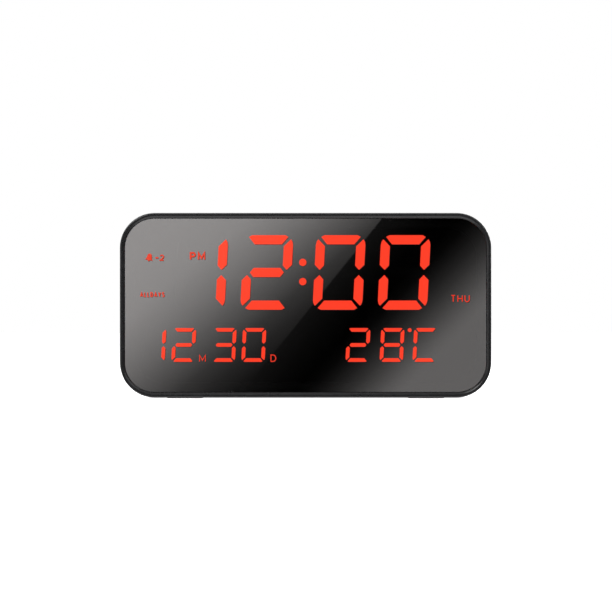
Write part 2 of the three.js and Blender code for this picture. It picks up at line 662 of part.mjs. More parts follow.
function housingTubCuts() {
  const { halfLength, z, halfHeight } = TUB;
  const { halfWidth, low, high } = RECESS;
  const pinHole = { radius: 0.8, depth: 1.3 };
  const scoop = { radius: 6, depth: 1.2, z: high - 1 };
  const recessFloorY = REAR_Y - DOOR.thickness - 0.1;
  const pinHoles = [-1, 1].map((side) => alongX(
    disc(pinHole.radius, DOOR_HINGE_Y, DOOR.hingeZ),
    side * (halfWidth - 0.1),
    side * (halfWidth + pinHole.depth),
  ));
  return [
    box(-halfLength, halfLength, TUB_FLOOR_Y, PAST_REAR_Y, z - halfHeight, z + halfHeight),
    box(-halfWidth, halfWidth, recessFloorY, PAST_REAR_Y, low, high),
    rod(scoop.radius, 0, scoop.z, REAR_Y - scoop.depth, PAST_REAR_Y),
    ...pinHoles,
  ];
}

function makeRearHousing() {
  const whole = joined([housingShell(), ...housingPosts(), housingTub()]);
  return cut(whole, [...screwHoles(), ...rearOpenings(), ...topAndBottomOpenings(), ...housingTubCuts()]);
}

// ---- Battery door, cells and contacts ----

// A plate with a rounded lower edge that turns on two pins, and a springy tongue at the top.
function makeBatteryDoor() {
  const { halfWidth, top, hingeZ, thickness } = DOOR;
  const pin = { radius: 0.6, reach: 1.2 };
  const tongue = { halfWidth: 6, slot: 1, length: 8 };
  const groove = { halfLength: 4, depth: 0.3, height: 0.8, pitch: 1.8, top: top - 3.4, count: 3 };
  const side = new THREE.Shape();
  side.moveTo(REAR_Y, top);
  side.lineTo(REAR_Y - thickness, top);
  side.lineTo(REAR_Y - thickness, hingeZ);
  side.absarc(DOOR_HINGE_Y, hingeZ, thickness / 2, Math.PI, 2 * Math.PI, false);
  side.closePath();
  const plate = alongX(side, -halfWidth, halfWidth);
  const pins = [-1, 1].map((end) => alongX(
    disc(pin.radius, DOOR_HINGE_Y, hingeZ), end * (halfWidth - PAST), end * (halfWidth + pin.reach)));
  const slots = [-tongue.halfWidth, tongue.halfWidth].map((x) => box(
    x - tongue.slot / 2, x + tongue.slot / 2, REAR_Y - 2 * thickness, PAST_REAR_Y,
    top - tongue.length, top + PAST));
  const grooves = [];
  for (let i = 0; i < groove.count; i++) {
    const z = groove.top - i * groove.pitch;
    grooves.push(box(
      -groove.halfLength, groove.halfLength, REAR_Y - groove.depth, PAST_REAR_Y, z - groove.height, z));
  }
  return cut(joined([plate, ...pins]), [...slots, ...grooves]);
}

// A cell lies along X with its positive nub towards the given side.
function makeCell(z, side) {
  const { radius, length, nub, nubRadius, edge, y } = CELL;
  const shoulder = length - nub;
  const geometry = new THREE.LatheGeometry([
    [0, 0], [radius - edge, 0], [radius, edge], [radius, shoulder - edge], [radius - edge, shoulder],
    [nubRadius, shoulder], [nubRadius, length], [0, length],
  ].map(([r, along]) => new THREE.Vector2(r, along)), SIDES);
  geometry.rotateZ(side * -Math.PI / 2);
  geometry.translate(side * (TUB.halfLength - PLATE - length), y, z);
  return solid(geometry);
}

// A conical coil that stands on a contact plate and reaches towards a cell's flat end.
function makeCoil(z, side) {
  const [turns, stepsPerTurn, base, tip, wire, sides] = [2.5, 8, 3.6, 2.4, 0.3, 5];
  const plateX = TUB.halfLength - PLATE;
  const sink = 0.1;
  const reach = 2 * plateX - CELL.length - wire - 2 * sink;
  class Coil extends THREE.Curve {
    getPoint(t) {
      const angle = 2 * Math.PI * turns * t;
      const radius = base + (tip - base) * t;
      const x = side * (plateX + sink - reach * t);
      return new THREE.Vector3(x, CELL.y + radius * Math.cos(angle), z + radius * Math.sin(angle));
    }
  }
  const path = { steps: turns * stepsPerTurn, extrudePath: new Coil() };
  return solid(new THREE.ExtrudeGeometry(disc(wire, 0, 0, sides), path));
}

// A flat contact on the compartment's end wall, which reaches from one cell to another.
function makePlate(zLow, zHigh, side) {
  const [inner, outer] = [TUB.halfLength - PLATE, TUB.halfLength];
  const { margin, depth } = { margin: 4.6, depth: 9.6 };
  return box(side * inner, side * outer, TUB_FLOOR_Y, TUB_FLOOR_Y + depth, zLow - margin, zHigh + margin);
}

// ---- Feet and case screws ----

function makeFoot(x, y, topZ) {
  const bottom = -HEIGHT / 2 - FOOT_STAND;
  const shrink = 0.4;
  const shape = roundedRect(FOOT.length - shrink, FOOT.width - shrink, 1.8, x, y);
  return alongZ(shape, bottom, topZ, { round: 1 });
}

// A pan-head screw that enters from behind, through a housing post into a bezel boss.
function makeCaseScrew(x, z) {
  const { shank, head, tipY, seatY } = SCREW;
  const [tip, taper, headDepth, headTop] = [0.5, 1, 1.6, 2.1];
  const topY = seatY + headDepth;
  const screw = turned([
    [0, tipY], [tip, tipY], [shank, tipY + taper], [shank, seatY],
    [head, seatY], [headTop, topY], [0, topY],
  ], x, z);
  return cut(screw, crossSlot(x, z, seatY + headDepth / 2, topY + PAST, 1.5));
}

// ---- Assembly ----

place('front_bezel', makeFrontBezel(), PLASTIC);
place('mirror_lens', makeLens(), { color: 0x0a0a0b, roughness: 0.05, metalness: 0.4 });
place('lens_tape', makeLensTape(), SOFT_BLACK);
place('segment_mask', makeSegmentMask(), SOFT_BLACK);
for (const [name, outlines] of Object.entries(DISPLAY)) {
  place(name, makeDiffuser(outlines), DIFFUSER_RED);
}
place('display_board', makeDisplayBoard(), BOARD_GREEN);
place('controller_chip', makeChip(), SOFT_BLACK);
place('clock_crystal', makeCrystal(), METAL);
place('filter_capacitor', makeCapacitor(), { color: 0x23356e, roughness: 0.4, metalness: 0 });
place('temperature_sensor', makeTemperatureSensor(), { color: 0x7a3a1c, roughness: 0.4, metalness: 0 });

const CONNECTOR_WHITE = { color: 0xe8e4d8, roughness: 0.5, metalness: 0 };
const displayConnector = makeConnector(SPLIT_Y, SPLIT_Y + LINK.depth);
const buttonConnector = makeConnector(BUTTON_BOARD_FRONT_Y - LINK.depth, BUTTON_BOARD_FRONT_Y);
place('display_connector', displayConnector, CONNECTOR_WHITE);
place('button_connector', buttonConnector, CONNECTOR_WHITE);
place('ribbon_cable', makeRibbon(), { color: 0xc9ccd2, roughness: 0.5, metalness: 0 });

place('button_board', makeButtonBoard(), BOARD_GREEN);
BUTTON_NAMES.forEach((name, i) => {
  place(`${name}_button`, makeButton(buttonX(i)), PLASTIC);
  place(`${name}_switch`, makeSwitch(buttonX(i)), METAL);
  place(`${name}_plunger`, makePlunger(buttonX(i)), SOFT_BLACK);
});
place('snooze_bar', makeSnoozeBar(), PLASTIC);
place('snooze_switch', makeSnoozeSwitch(), METAL);
place('snooze_plunger', makeSnoozePlunger(), SOFT_BLACK);
place('usb_socket', makeUsbSocket(), METAL);
BOARD_SCREWS.forEach((spot, i) => place(`board_screw_${i + 1}`, makeBoardScrew(spot), METAL));
place('buzzer', makeBuzzer(), SOFT_BLACK);

place('rear_housing', makeRearHousing(), PLASTIC);
place('battery_door', makeBatteryDoor(), PLASTIC);

// Upper, middle and lower cell, wired in series by the two link contacts.
const CELL_Z = [TUB.z + CELL.pitch, TUB.z, TUB.z - CELL.pitch];
const NUB_SIDE = [-1, 1, -1];
const JACKET = { color: 0x2f6b3c, roughness: 0.35, metalness: 0.2 };
CELL_Z.forEach((z, i) => place(`battery_${i + 1}`, makeCell(z, NUB_SIDE[i]), JACKET));
const [UPPER_Z, MIDDLE_Z, LOWER_Z] = CELL_Z;
place('positive_terminal', makePlate(UPPER_Z, UPPER_Z, -1), METAL);
place('negative_terminal', makePlate(LOWER_Z, LOWER_Z, 1).add(makeCoil(LOWER_Z, 1)), METAL);
place('left_link_contact', makePlate(LOWER_Z, MIDDLE_Z, -1).add(makeCoil(MIDDLE_Z, -1)), METAL);
place('right_link_contact', makePlate(MIDDLE_Z, UPPER_Z, 1).add(makeCoil(UPPER_Z, 1)), METAL);

const frontFootTop = -HEIGHT / 2 + FOOT.recess;
for (const [side, x] of [['left', -FOOT.x], ['right', FOOT.x]]) {
  place(`front_${side}_foot`, makeFoot(x, FOOT_FRONT_Y, frontFootTop), SOFT_BLACK);
  place(`rear_${side}_foot`, makeFoot(x, FOOT_REAR_Y, frontFootTop + HOUSING_INSET), SOFT_BLACK);
}
SCREW_CORNERS.forEach(([x, z], i) => place(`case_screw_${i + 1}`, makeCaseScrew(x, z), METAL));

export default clock;
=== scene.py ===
"""Looks of the LED mirror clock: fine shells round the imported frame, lit characters behind a
half-mirrored lens, moulded plastic and a white studio. Lengths are metres, in the frame's axes."""

import json
import math

import bmesh
import bpy
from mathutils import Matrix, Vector


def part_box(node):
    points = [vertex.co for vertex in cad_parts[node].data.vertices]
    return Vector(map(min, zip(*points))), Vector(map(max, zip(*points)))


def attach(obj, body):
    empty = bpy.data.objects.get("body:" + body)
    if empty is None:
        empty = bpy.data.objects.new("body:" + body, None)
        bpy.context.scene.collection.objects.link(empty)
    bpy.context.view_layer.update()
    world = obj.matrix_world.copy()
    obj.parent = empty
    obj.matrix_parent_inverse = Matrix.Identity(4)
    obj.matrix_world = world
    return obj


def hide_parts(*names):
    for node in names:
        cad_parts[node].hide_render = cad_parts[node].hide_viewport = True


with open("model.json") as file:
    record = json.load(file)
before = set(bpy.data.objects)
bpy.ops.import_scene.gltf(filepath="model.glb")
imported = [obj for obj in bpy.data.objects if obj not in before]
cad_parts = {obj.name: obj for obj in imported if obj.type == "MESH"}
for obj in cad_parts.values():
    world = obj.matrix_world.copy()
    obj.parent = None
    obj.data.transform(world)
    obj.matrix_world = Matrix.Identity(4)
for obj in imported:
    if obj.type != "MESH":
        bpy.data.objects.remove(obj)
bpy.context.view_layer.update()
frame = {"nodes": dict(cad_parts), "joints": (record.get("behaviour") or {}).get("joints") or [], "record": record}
MM = 0.001

# ---- Sizes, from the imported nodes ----

BEZEL_LOW, BEZEL_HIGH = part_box("front_bezel")
WIDTH = BEZEL_HIGH.x - BEZEL_LOW.x
HEIGHT = BEZEL_HIGH.z - BEZEL_LOW.z
FACE_Z = (BEZEL_LOW.z + BEZEL_HIGH.z) / 2
FACE_Y = BEZEL_LOW.y
SPLIT_Y = BEZEL_HIGH.y
CORNER = 15 * MM
LENS_LOW, LENS_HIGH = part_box("mirror_lens")
HOUSING_LOW, HOUSING_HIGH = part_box("rear_housing")
REAR_Y = HOUSING_HIGH.y
WALL = 2.2 * MM
WALL_Y = REAR_Y - WALL
ISLAND_FRONT_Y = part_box("time_diffuser")[0].y
ISLAND_BACK_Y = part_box("segment_mask")[1].y - 3.8 * MM
FILM_Y = LENS_HIGH.y - 0.04 * MM
LIT_FRONT_Y = FILM_Y - 0.05 * MM    # lit shapes reach through the film on the lens's back
# Front of the painted shadows: unlit copies of the lit shapes, shifted down and to the right, that stand for the
# shadow beside each.
PAINTED_SHADOW_FRONT_Y = FILM_Y - 0.025 * MM
PAINTED_SHADOW_SHIFT = 0.2                     # how far the painted shadow beside a lit shape is shifted down and to the right, in millimetres
LEGEND_BACK_Y = FILM_Y + 0.07 * MM
PRINT_DEPTH = 0.03 * MM

CLEARANCE = 0.3 * MM                # round the snooze bar and the battery door
PAST = 1 * MM                       # how far a cutter reaches past what it cuts
BAR_COLLAR = 1.5 * MM
PIN_RADIUS = 0.6 * MM
PIN_REACH = 1.2 * MM
_, HINGE_Y, HINGE_Z = next(
    joint["pos_m"] for joint in frame["joints"] if joint["name"] == "battery_door_hinge")

ROOT = "clock_body"
BUTTONS = ["alarm", "down", "up", "mode", "set"]

# ---- Display layout, in millimetres from the middle of the face ----

SLANT = 0.0524    # how far a character's point moves right for each unit up
# Outer size, stroke and middle of a row of characters, and how far light stays inside a stroke.
TIME = {"height": 32.5, "width": 21.7, "stroke": 4.3, "z": 14.15, "glow_inset": 0.15}
DATE = {"height": 14.8, "width": 10.3, "stroke": 1.8, "z": -17.1, "glow_inset": 0.09}
# The strokes, named a to g, that each character lights.
STROKES_OF = {"0": "abcdef", "1": "bc", "2": "abged", "3": "abgcd", "8": "abcdefg", "C": "aefd"}
# Each character and its middle.
TIME_CHARACTERS = [("1", -44.8), ("2", -16.7), ("0", 14.5), ("0", 42.5)]
DATE_CHARACTERS = [("1", -65.4), ("2", -52.5), ("3", -35.1), ("0", -22.3)]
TEMPERATURE_CHARACTERS = [("2", 22.6), ("8", 37.3), ("C", 51.5)]
# Lit dots: middle and radius.
DOTS = {
    "time": [(-1.2, 18.5, 1.75), (-1.2, 10.2, 1.75)],
    "temperature": [(44.9, -10.7, 0.95)],
}
# Unlit windows behind the legends: middle, width and height.
WINDOWS = {
    "time": [(-46.5, 21.2, 7.6, 4.6)],
    "date": [(-44.4, -22.9, 3.8, 4), (-13.9, -22.8, 3.6, 4)],
    "weekday": [(66.7, 2.9, 9.2, 4)],
    "alarm_legend": [(-67.4, 20.6, 4.2, 4.2), (-62.9, 20.6, 4.4, 3.6), (-66.1, 4.65, 11.4, 3)],
}
# Each word: name, text, middle, width, height and pen width.
WORDS = [
    ("legend_pm", "PM", -46.6, 21.2, 6.7, 3.6, 0.74),
    ("legend_month", "M", -44.45, -22.9, 2.9, 3.1, 0.42),
    ("legend_day", "D", -13.9, -22.8, 2.5, 3.2, 0.44),
    ("legend_weekday", "THU", 66.7, 2.9, 8.2, 3.15, 0.45),
    ("legend_all_days", "ALLDAYS", -66.1, 4.65, 10.6, 2.2, 0.44),
    ("legend_alarm_number", "2", -61.95, 20.55, 1.9, 2.65, 0.5),
]

# ---- Mesh helpers ----

SMOOTH_ANGLE = 35    # in degrees: a sharper edge stays an edge
HAIR = 1e-6          # too small to see, but it keeps points apart


def add_to_scene(name, data):
    obj = bpy.data.objects.new(name, data)
    bpy.context.scene.collection.objects.link(obj)
    return obj


def build(name, verts, faces, smooth_angle=SMOOTH_ANGLE, marks=None, merge=1e-7):
    """A piece from its points and faces. Marks say which material each face has."""
    mesh = bpy.data.meshes.new(name)
    mesh.from_pydata([tuple(v) for v in verts], [], faces)
    if marks:
        mesh.polygons.foreach_set("material_index", marks)
    bm = bmesh.new()
    bm.from_mesh(mesh)
    bmesh.ops.remove_doubles(bm, verts=bm.verts, dist=merge)
    bmesh.ops.recalc_face_normals(bm, faces=bm.faces)
    bm.to_mesh(mesh)
    bm.free()
    obj = add_to_scene(name, mesh)
    shade(obj, smooth_angle)
    return obj


def shade(obj, smooth_angle=SMOOTH_ANGLE):
    obj.data.shade_smooth()
    obj.data.set_sharp_from_angle(angle=math.radians(smooth_angle))


def arc(centre, radius, start, end, steps):
    points = []
    for i in range(steps + 1):
        angle = math.radians(start + (end - start) * i / steps)
        points.append(
            (centre[0] + radius * math.cos(angle), centre[1] + radius * math.sin(angle)))
    return points


def rounded(width, height, radius, steps=16, x=0.0, y=0.0):
    """A rounded rectangle as a list of points, the same number for every size."""
    reach_x, reach_y = width / 2 - radius, height / 2 - radius
    points = []
    for turn, (side_x, side_y) in enumerate([(1, 1), (-1, 1), (-1, -1), (1, -1)]):
        centre = (x + side_x * reach_x, y + side_y * reach_y)
        points += arc(centre, radius, 90 * turn, 90 * turn + 90, steps)
    return points


def grown(width, height, radius, distance, steps=16, x=0.0, y=0.0):
    """A rounded rectangle grown outwards by a distance, or inwards where that is negative."""
    return rounded(
        width + 2 * distance, height + 2 * distance, radius + distance, steps, x, y)


def circle(radius, x=0.0, y=0.0, steps=40):
    return arc((x, y), radius, 0, 360 * (1 - 1 / steps), steps - 1)


def in_face(points, y):
    """Points measured from the middle of the face, placed in the frame at a depth."""
    return [Vector((x, y, FACE_Z + z)) for x, z in points]


def loft(name, rings, closed=False, smooth_angle=SMOOTH_ANGLE):
    """Joins rings of equally many points. An open loft gets a face over each end."""
    count = len(rings[0])
    verts = [v for ring in rings for v in ring]
    faces = []
    last = len(rings) if closed else len(rings) - 1
    for r in range(last):
        a, b = r * count, ((r + 1) % len(rings)) * count
        for i in range(count):
            k = (i + 1) % count
            faces.append((a + i, a + k, b + k, b + i))
    if not closed:
        faces.append(tuple(range(count)))
        faces.append(tuple(range((len(rings) - 1) * count, len(rings) * count)))
    return build(name, verts, faces, smooth_angle)


def prism(name, points, y0, y1):
    return loft(name, [in_face(points, y0), in_face(points, y1)])


def prism_up(name, points, z0, z1):
    """A prism that stands along Z, from points in X and Y."""
    return loft(name, [[Vector((x, y, z)) for x, y in points] for z in (z0, z1)])


def prism_across(name, points, x0, x1):
    """A prism that lies along X, from points in Y and Z."""
    return loft(name, [[Vector((x, y, z)) for y, z in points] for x in (x0, x1)])


def block(name, low, high):
    points = [(low[0], low[1]), (high[0], low[1]), (high[0], high[1]), (low[0], high[1])]
    return prism_up(name, points, low[2], high[2])


def turned(name, profile, x, z, steps):
    """Turns (radius, y) points round an axis along Y through (x, z)."""
    rings = []
    for radius, y in profile:
        rings.append([Vector((px, y, pz)) for px, pz in circle(max(radius, HAIR), x, z, steps)])
    return loft(name, rings)


def settle(obj):
    """Applies the object's modifiers to its mesh."""
    graph = bpy.context.evaluated_depsgraph_get()
    mesh = bpy.data.meshes.new_from_object(obj.evaluated_get(graph))
    obj.modifiers.clear()
    obj.data = mesh


def combine(obj, tools, operation):
    """Adds the tools to a piece or cuts them out of it, one after another."""
    for tool in tools:
        step = obj.modifiers.new(operation, "BOOLEAN")
        step.operation = operation
        step.solver = "MANIFOLD"
        step.object = tool
        settle(obj)
        bpy.data.objects.remove(tool)


def flatten_shading(obj):
    """Shades the large flat faces flat, so that small rounded edges beside them don't tint them."""
    large = 1.5 * MM * MM
    along_an_axis = 0.9999
    for face in obj.data.polygons:
        square = max(abs(part) for part in face.normal) > along_an_axis
        if square and face.area > large:
            face.use_smooth = False


def soften(obj, width):
    """Rounds the sharp edges that a mould leaves."""
    step = obj.modifiers.new("edges", "BEVEL")
    step.width = width
    step.segments = 2
    step.limit_method = "ANGLE"
    step.angle_limit = math.radians(40)
    step.miter_outer = "MITER_ARC"
    settle(obj)
    shade(obj)
    flatten_shading(obj)


def join(name, parts):
    """One piece from several, each with the material number that it carries."""
    bm = bmesh.new()
    for part in parts:
        first = len(bm.faces)
        bm.from_mesh(part.data)
        bm.faces.ensure_lookup_table()
        index = part.get("material_index", 0)
        for face in bm.faces[first:]:
            face.material_index = index
    mesh = bpy.data.meshes.new(name)
    bm.to_mesh(mesh)
    bm.free()
    for part in parts:
        bpy.data.objects.remove(part)
    return add_to_scene(name, mesh)


def finish_piece(obj, body, materials, stands_for=()):
    """Gives a piece its materials and its body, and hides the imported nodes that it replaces."""
    if len(materials) == 1:
        obj.data.materials.clear()
    for material in materials:
        obj.data.materials.append(material)
    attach(obj, body)
    if stands_for:
        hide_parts(*stands_for)


# ---- Materials ----


class Nodes:
    """A new material's node tree, with short ways to add and link nodes."""

    def __init__(self, name):
        self.material = bpy.data.materials.new(name)
        self.material.use_nodes = True
        self.tree = self.material.node_tree
        self.tree.nodes.clear()
        self.output = self.add("ShaderNodeOutputMaterial")
        self.place = self.add("ShaderNodeTexCoord").outputs["Object"]

    def add(self, kind, values=None, **settings):
        """A new node. Values are the constants on its sockets."""
        node = self.tree.nodes.new(kind)
        for key, value in settings.items():
            setattr(node, key, value)
        for socket, value in (values or {}).items():
            node.inputs[socket].default_value = value
        return node

    def link(self, source, target):
        self.tree.links.new(source, target)

    def finished(self, output):
        """The material, with this output on its surface."""
        self.link(output, self.output.inputs["Surface"])
        return self.material

    def noise(self, scale, detail=3.0):
        node = self.add("ShaderNodeTexNoise", {"Scale": scale, "Detail": detail})
        self.link(self.place, node.inputs["Vector"])
        return node.outputs["Fac"]

    def spread(self, value, low, high):
        """Stretches noise, which mostly lies between 0.3 and 0.7, from low to high."""
        node = self.add("ShaderNodeMapRange", {
            "From Min": 0.3, "From Max": 0.7, "To Min": low, "To Max": high})
        self.link(value, node.inputs["Value"])
        return node.outputs["Result"]

    def blend(self, factor, first, second):
        node = self.add("ShaderNodeMix", {"A": (*first, 1), "B": (*second, 1)}, data_type="RGBA")
        self.link(factor, node.inputs["Factor"])
        return node.outputs["Result"]

    def bump(self, height, distance):
        node = self.add("ShaderNodeBump", {"Distance": distance})
        self.link(height, node.inputs["Height"])
        return node.outputs["Normal"]

    def near_edges(self, reach):
        """One on edges, fading to nothing at a distance from them."""
        rounded_off = self.add("ShaderNodeBevel", {"Radius": reach})
        agreement = self.add("ShaderNodeVectorMath", operation="DOT_PRODUCT")
        self.link(rounded_off.outputs["Normal"], agreement.inputs[0])
        self.link(self.add("ShaderNodeNewGeometry").outputs["Normal"], agreement.inputs[1])
        fade = self.add("ShaderNodeMapRange", {"From Min": 0.99, "From Max": 0.8})
        self.link(agreement.outputs["Value"], fade.inputs["Value"])
        return fade.outputs["Result"]


def scaled(colour, factor):
    return tuple(channel * factor for channel in colour)


# The scales of every surface's noise, and how far its rubbed edges reach.
MOTTLE_SCALE = 70
GLOSS_SCALE = 350
WEAR_REACH = 0.4 * MM


def surface(name, colour, roughness, grain=2500, depth=0.02 * MM, spread=0.06, metallic=0.0,
            variation=0.12, wear=0.0):
    """A moulded or plated surface: mottled colour, uneven gloss, fine grain, rubbed edges."""
    nodes = Nodes(name)
    shader = nodes.add("ShaderNodeBsdfPrincipled", {"Metallic": metallic})
    tone = nodes.blend(
        nodes.noise(MOTTLE_SCALE), scaled(colour, 1 - variation), scaled(colour, 1 + variation))
    if wear:
        rubbed = (*(min(1.0, channel + wear) for channel in colour), 1)
        worn = nodes.add("ShaderNodeMix", {"B": rubbed}, data_type="RGBA")
        nodes.link(nodes.near_edges(WEAR_REACH), worn.inputs["Factor"])
        nodes.link(tone, worn.inputs["A"])
        tone = worn.outputs["Result"]
    nodes.link(tone, shader.inputs["Base Color"])
    gloss = nodes.spread(nodes.noise(GLOSS_SCALE), roughness - spread, roughness + spread)
    nodes.link(gloss, shader.inputs["Roughness"])
    nodes.link(nodes.bump(nodes.noise(grain, 2), depth), shader.inputs["Normal"])
    return nodes.finished(shader.outputs["BSDF"])


def partly_clear(name, opacity, reflection, tint, roughness):
    """A sheet that lets some light straight through and mirrors the rest."""
    nodes = Nodes(name)
    film = nodes.add("ShaderNodeBsdfPrincipled", {"Metallic": 1.0, "Base Color": (*reflection, 1)})
    gloss = nodes.spread(nodes.noise(90), 0.5 * roughness, 1.5 * roughness)
    nodes.link(gloss, film.inputs["Roughness"])
    clear = nodes.add("ShaderNodeBsdfTransparent", {"Color": (*tint, 1)})
    mix = nodes.add("ShaderNodeMixShader", {"Fac": opacity})
    nodes.link(clear.outputs["BSDF"], mix.inputs[1])
    nodes.link(film.outputs["BSDF"], mix.inputs[2])
    return nodes.finished(mix.outputs["Shader"])


def glowing(name, colour, strength):
    """A lit translucent moulding: an even glow over a faintly mottled colour, with fine grain."""
    nodes = Nodes(name)
    shader = nodes.add("ShaderNodeBsdfPrincipled", {
        "Roughness": 0.5, "Specular IOR Level": 0.2, "Emission Color": (*colour, 1),
        "Emission Strength": strength})
    tone = nodes.blend(nodes.noise(300), (0.06, 0.002, 0.001), (0.09, 0.004, 0.002))
    nodes.link(tone, shader.inputs["Base Color"])
    nodes.link(nodes.bump(nodes.noise(1500), 0.02 * MM), shader.inputs["Normal"])
    return nodes.finished(shader.outputs["BSDF"])


CASE = surface(
    "case_plastic", (0.017, 0.017, 0.018), 0.42, grain=2200, depth=0.022 * MM, spread=0.03,
    wear=0.012)
BEZEL = surface(
    "bezel_plastic", (0.011, 0.011, 0.012), 0.3, grain=3500, depth=0.001 * MM, wear=0.002)
BUTTON = surface(
    "button_plastic", (0.022, 0.022, 0.023), 0.34, grain=2500, depth=0.01 * MM, wear=0.015)
MASK = surface("mask_black", (0.002, 0.002, 0.002), 0.9, depth=0.01 * MM)
RUBBER = surface("foot_rubber", (0.012, 0.012, 0.012), 0.75, grain=1400, depth=0.04 * MM)
METAL = surface("nickel", (0.62, 0.61, 0.58), 0.28, grain=900, depth=0.005 * MM, metallic=1.0)
SCREW = surface(
    "black_zinc", (0.12, 0.12, 0.125), 0.35, grain=900, depth=0.01 * MM, metallic=1.0)
PRINT = surface("icon_print", (0.36, 0.36, 0.37), 0.6, depth=0.01 * MM)
JACKET = surface(
    "cell_jacket", (0.03, 0.03, 0.034), 0.3, grain=500, depth=0.002 * MM, variation=0.05)
BAND = surface(
    "cell_band", (0.5, 0.2, 0.06), 0.28, grain=500, depth=0.002 * MM, metallic=0.6, variation=0.04,
    spread=0.02)
# The colour of the unlit windows, which also colours the painted shadows beside lit shapes.
UNLIT_AND_SHADOW = surface("unlit_diffuser_and_shadow", (0.006, 0.0045, 0.0045), 0.6, depth=0.01 * MM)
LENS = partly_clear("clear_acrylic", 0.1, (0.4, 0.31, 0.2), (0.97, 0.97, 0.97), 0.006)
FILM = partly_clear("mirror_film", 0.6, (0.56, 0.557, 0.575), (0.5, 0.5, 0.5), 0.006)
LIT = glowing("lit_red", (0.991, 0.045, 0.0152), 1.1)
LEGEND_LIT = glowing("legend_red", (0.86, 0.038, 0.014), 0.95)

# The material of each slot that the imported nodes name.
INSIDE = {
    "circuit_board": surface("solder_mask", (0.015, 0.09, 0.05), 0.35, grain=600, wear=0.02),
    "bare_metal": METAL,
    "screw_steel": SCREW,
    "mask_black": MASK,
    "tape": surface("foam_tape", (0.02, 0.02, 0.02), 0.9, grain=3000, depth=0.05 * MM),
    "capacitor_sleeve": surface("shrink_sleeve", (0.02, 0.04, 0.16), 0.3),
    "sensor_bead": surface("epoxy_bead", (0.2, 0.05, 0.02), 0.2),
    "connector_white": surface("connector_nylon", (0.7, 0.67, 0.58), 0.5),
    "ribbon": surface("ribbon_film", (0.5, 0.52, 0.55), 0.35),
    "foot_rubber": RUBBER,
    "case_black": CASE,
    "button_black": BUTTON,
    "battery_jacket": JACKET,
    "lit_red": UNLIT_AND_SHADOW,
    "mirror_lens": LENS,
}

for row in frame["record"]["subparts"]:
    node = frame["nodes"][row["node"]]
    node.data.materials.clear()
    node.data.materials.append(INSIDE[row["material_slot"]])

# ---- Front bezel and lens ----


def ring(inset_x, inset_z, radius, y):
    return in_face(rounded(WIDTH - 2 * inset_x, HEIGHT - 2 * inset_z, radius), y)


def make_bezel():
    """A closed profile that runs round the face: outside, front, lens ledge and skirt."""
    edge, back_edge = 0.85 * MM, 0.25 * MM
    lens_side, lens_top, lens_radius = 2.0 * MM, 2.3 * MM, 12.8 * MM
    flare, crest = 1.1 * MM, 0.15 * MM
    ledge_x, ledge_z, ledge_radius = 6.4 * MM, 6.7 * MM, 12 * MM
    ledge_front, ledge_back = LENS_HIGH.y + 0.4 * MM, LENS_HIGH.y + 2.4 * MM
    skirt = 1.6 * MM
    rings = [
        ring(back_edge, back_edge, CORNER - back_edge, SPLIT_Y),
        ring(0, 0, CORNER, SPLIT_Y - back_edge)]
    for step, depth in arc((edge, edge), edge, 180, 270, 10):
        rings.append(ring(step, step, CORNER - step, FACE_Y + depth))
    rings += [
        ring(lens_side - flare + crest, lens_top - flare - crest, lens_radius + flare, FACE_Y),
        ring(lens_side - crest, lens_top - crest, lens_radius + crest, LENS_LOW.y - crest),
        ring(lens_side, lens_top, lens_radius, LENS_LOW.y + crest),
        ring(lens_side, lens_top, lens_radius, ledge_front),
        ring(ledge_x, ledge_z, ledge_radius, ledge_front),
        ring(ledge_x, ledge_z, ledge_radius, ledge_back),
        ring(skirt, skirt, CORNER - skirt, ledge_back),
        ring(skirt, skirt, CORNER - skirt, SPLIT_Y)]
    bezel = loft("bezel_shell", rings, closed=True, smooth_angle=50)
    finish_piece(bezel, ROOT, [BEZEL], ["front_bezel"])


def make_lens():
    """The clear panel, with the half-mirrored film as its back face."""
    edge = 0.2 * MM
    radius = 12.65 * MM
    width, height = LENS_HIGH.x - LENS_LOW.x, LENS_HIGH.z - LENS_LOW.z

    def at(step, y):
        return in_face(grown(width, height, radius, -step), y)

    rings = [at(edge, LENS_LOW.y), at(0, LENS_LOW.y + edge), at(0, FILM_Y)]
    lens = loft("mirror_panel", rings, smooth_angle=20)
    for face in lens.data.polygons:
        faces_back = face.normal.y > 0.9
        face.material_index = int(faces_back)
    finish_piece(lens, ROOT, [LENS, FILM], ["mirror_lens"])


# ---- Lit characters ----


STROKE_CORNER = 0.2    # in millimetres
ISLAND_RIM = 0.06
ON, OFF_AND_SHADOW = 0, 1         # places of the lit and unlit materials on diffusers and legends; the unlit one also colours the painted shadows


def stroke_outlines(style, centre):
    """The seven strokes of a character, a to g, as corner points in millimetres.

    Each is drawn from half the width, half the height and the stroke's thickness, and mirrored."""
    hw, hh, t = style["width"] / 2, style["height"] / 2, style["stroke"]
    lying = [
        (-hw + 0.48 * t, hh - 0.2 * t), (-hw + 0.85 * t, hh), (hw - 0.85 * t, hh),
        (hw - 0.48 * t, hh - 0.2 * t), (hw - 1.14 * t, hh - t), (-hw + 1.14 * t, hh - t),
    ]
    standing = [
        (hw, hh - t), (hw - 0.075 * t, hh - 0.66 * t), (hw - 0.255 * t, hh - 0.385 * t),
        (hw - t, hh - 1.14 * t), (hw - t, 0.68 * t), (hw - 0.55 * t, 0.2 * t), (hw, 0.75 * t),
    ]
    middle = [
        (-hw + 0.77 * t, 0), (-hw + 1.16 * t, t / 2), (hw - 1.16 * t, t / 2),
        (hw - 0.77 * t, 0), (hw - 1.16 * t, -t / 2), (-hw + 1.16 * t, -t / 2),
    ]
    layout = [
        (1, 1, lying), (1, 1, standing), (1, -1, standing), (1, -1, lying),
        (-1, -1, standing), (-1, 1, standing), (1, 1, middle),
    ]
    outlines = []
    for side_x, side_z, points in layout:
        outlines.append([
            (centre + side_x * x + SLANT * side_z * z, style["z"] + side_z * z) for x, z in points])
    return outlines


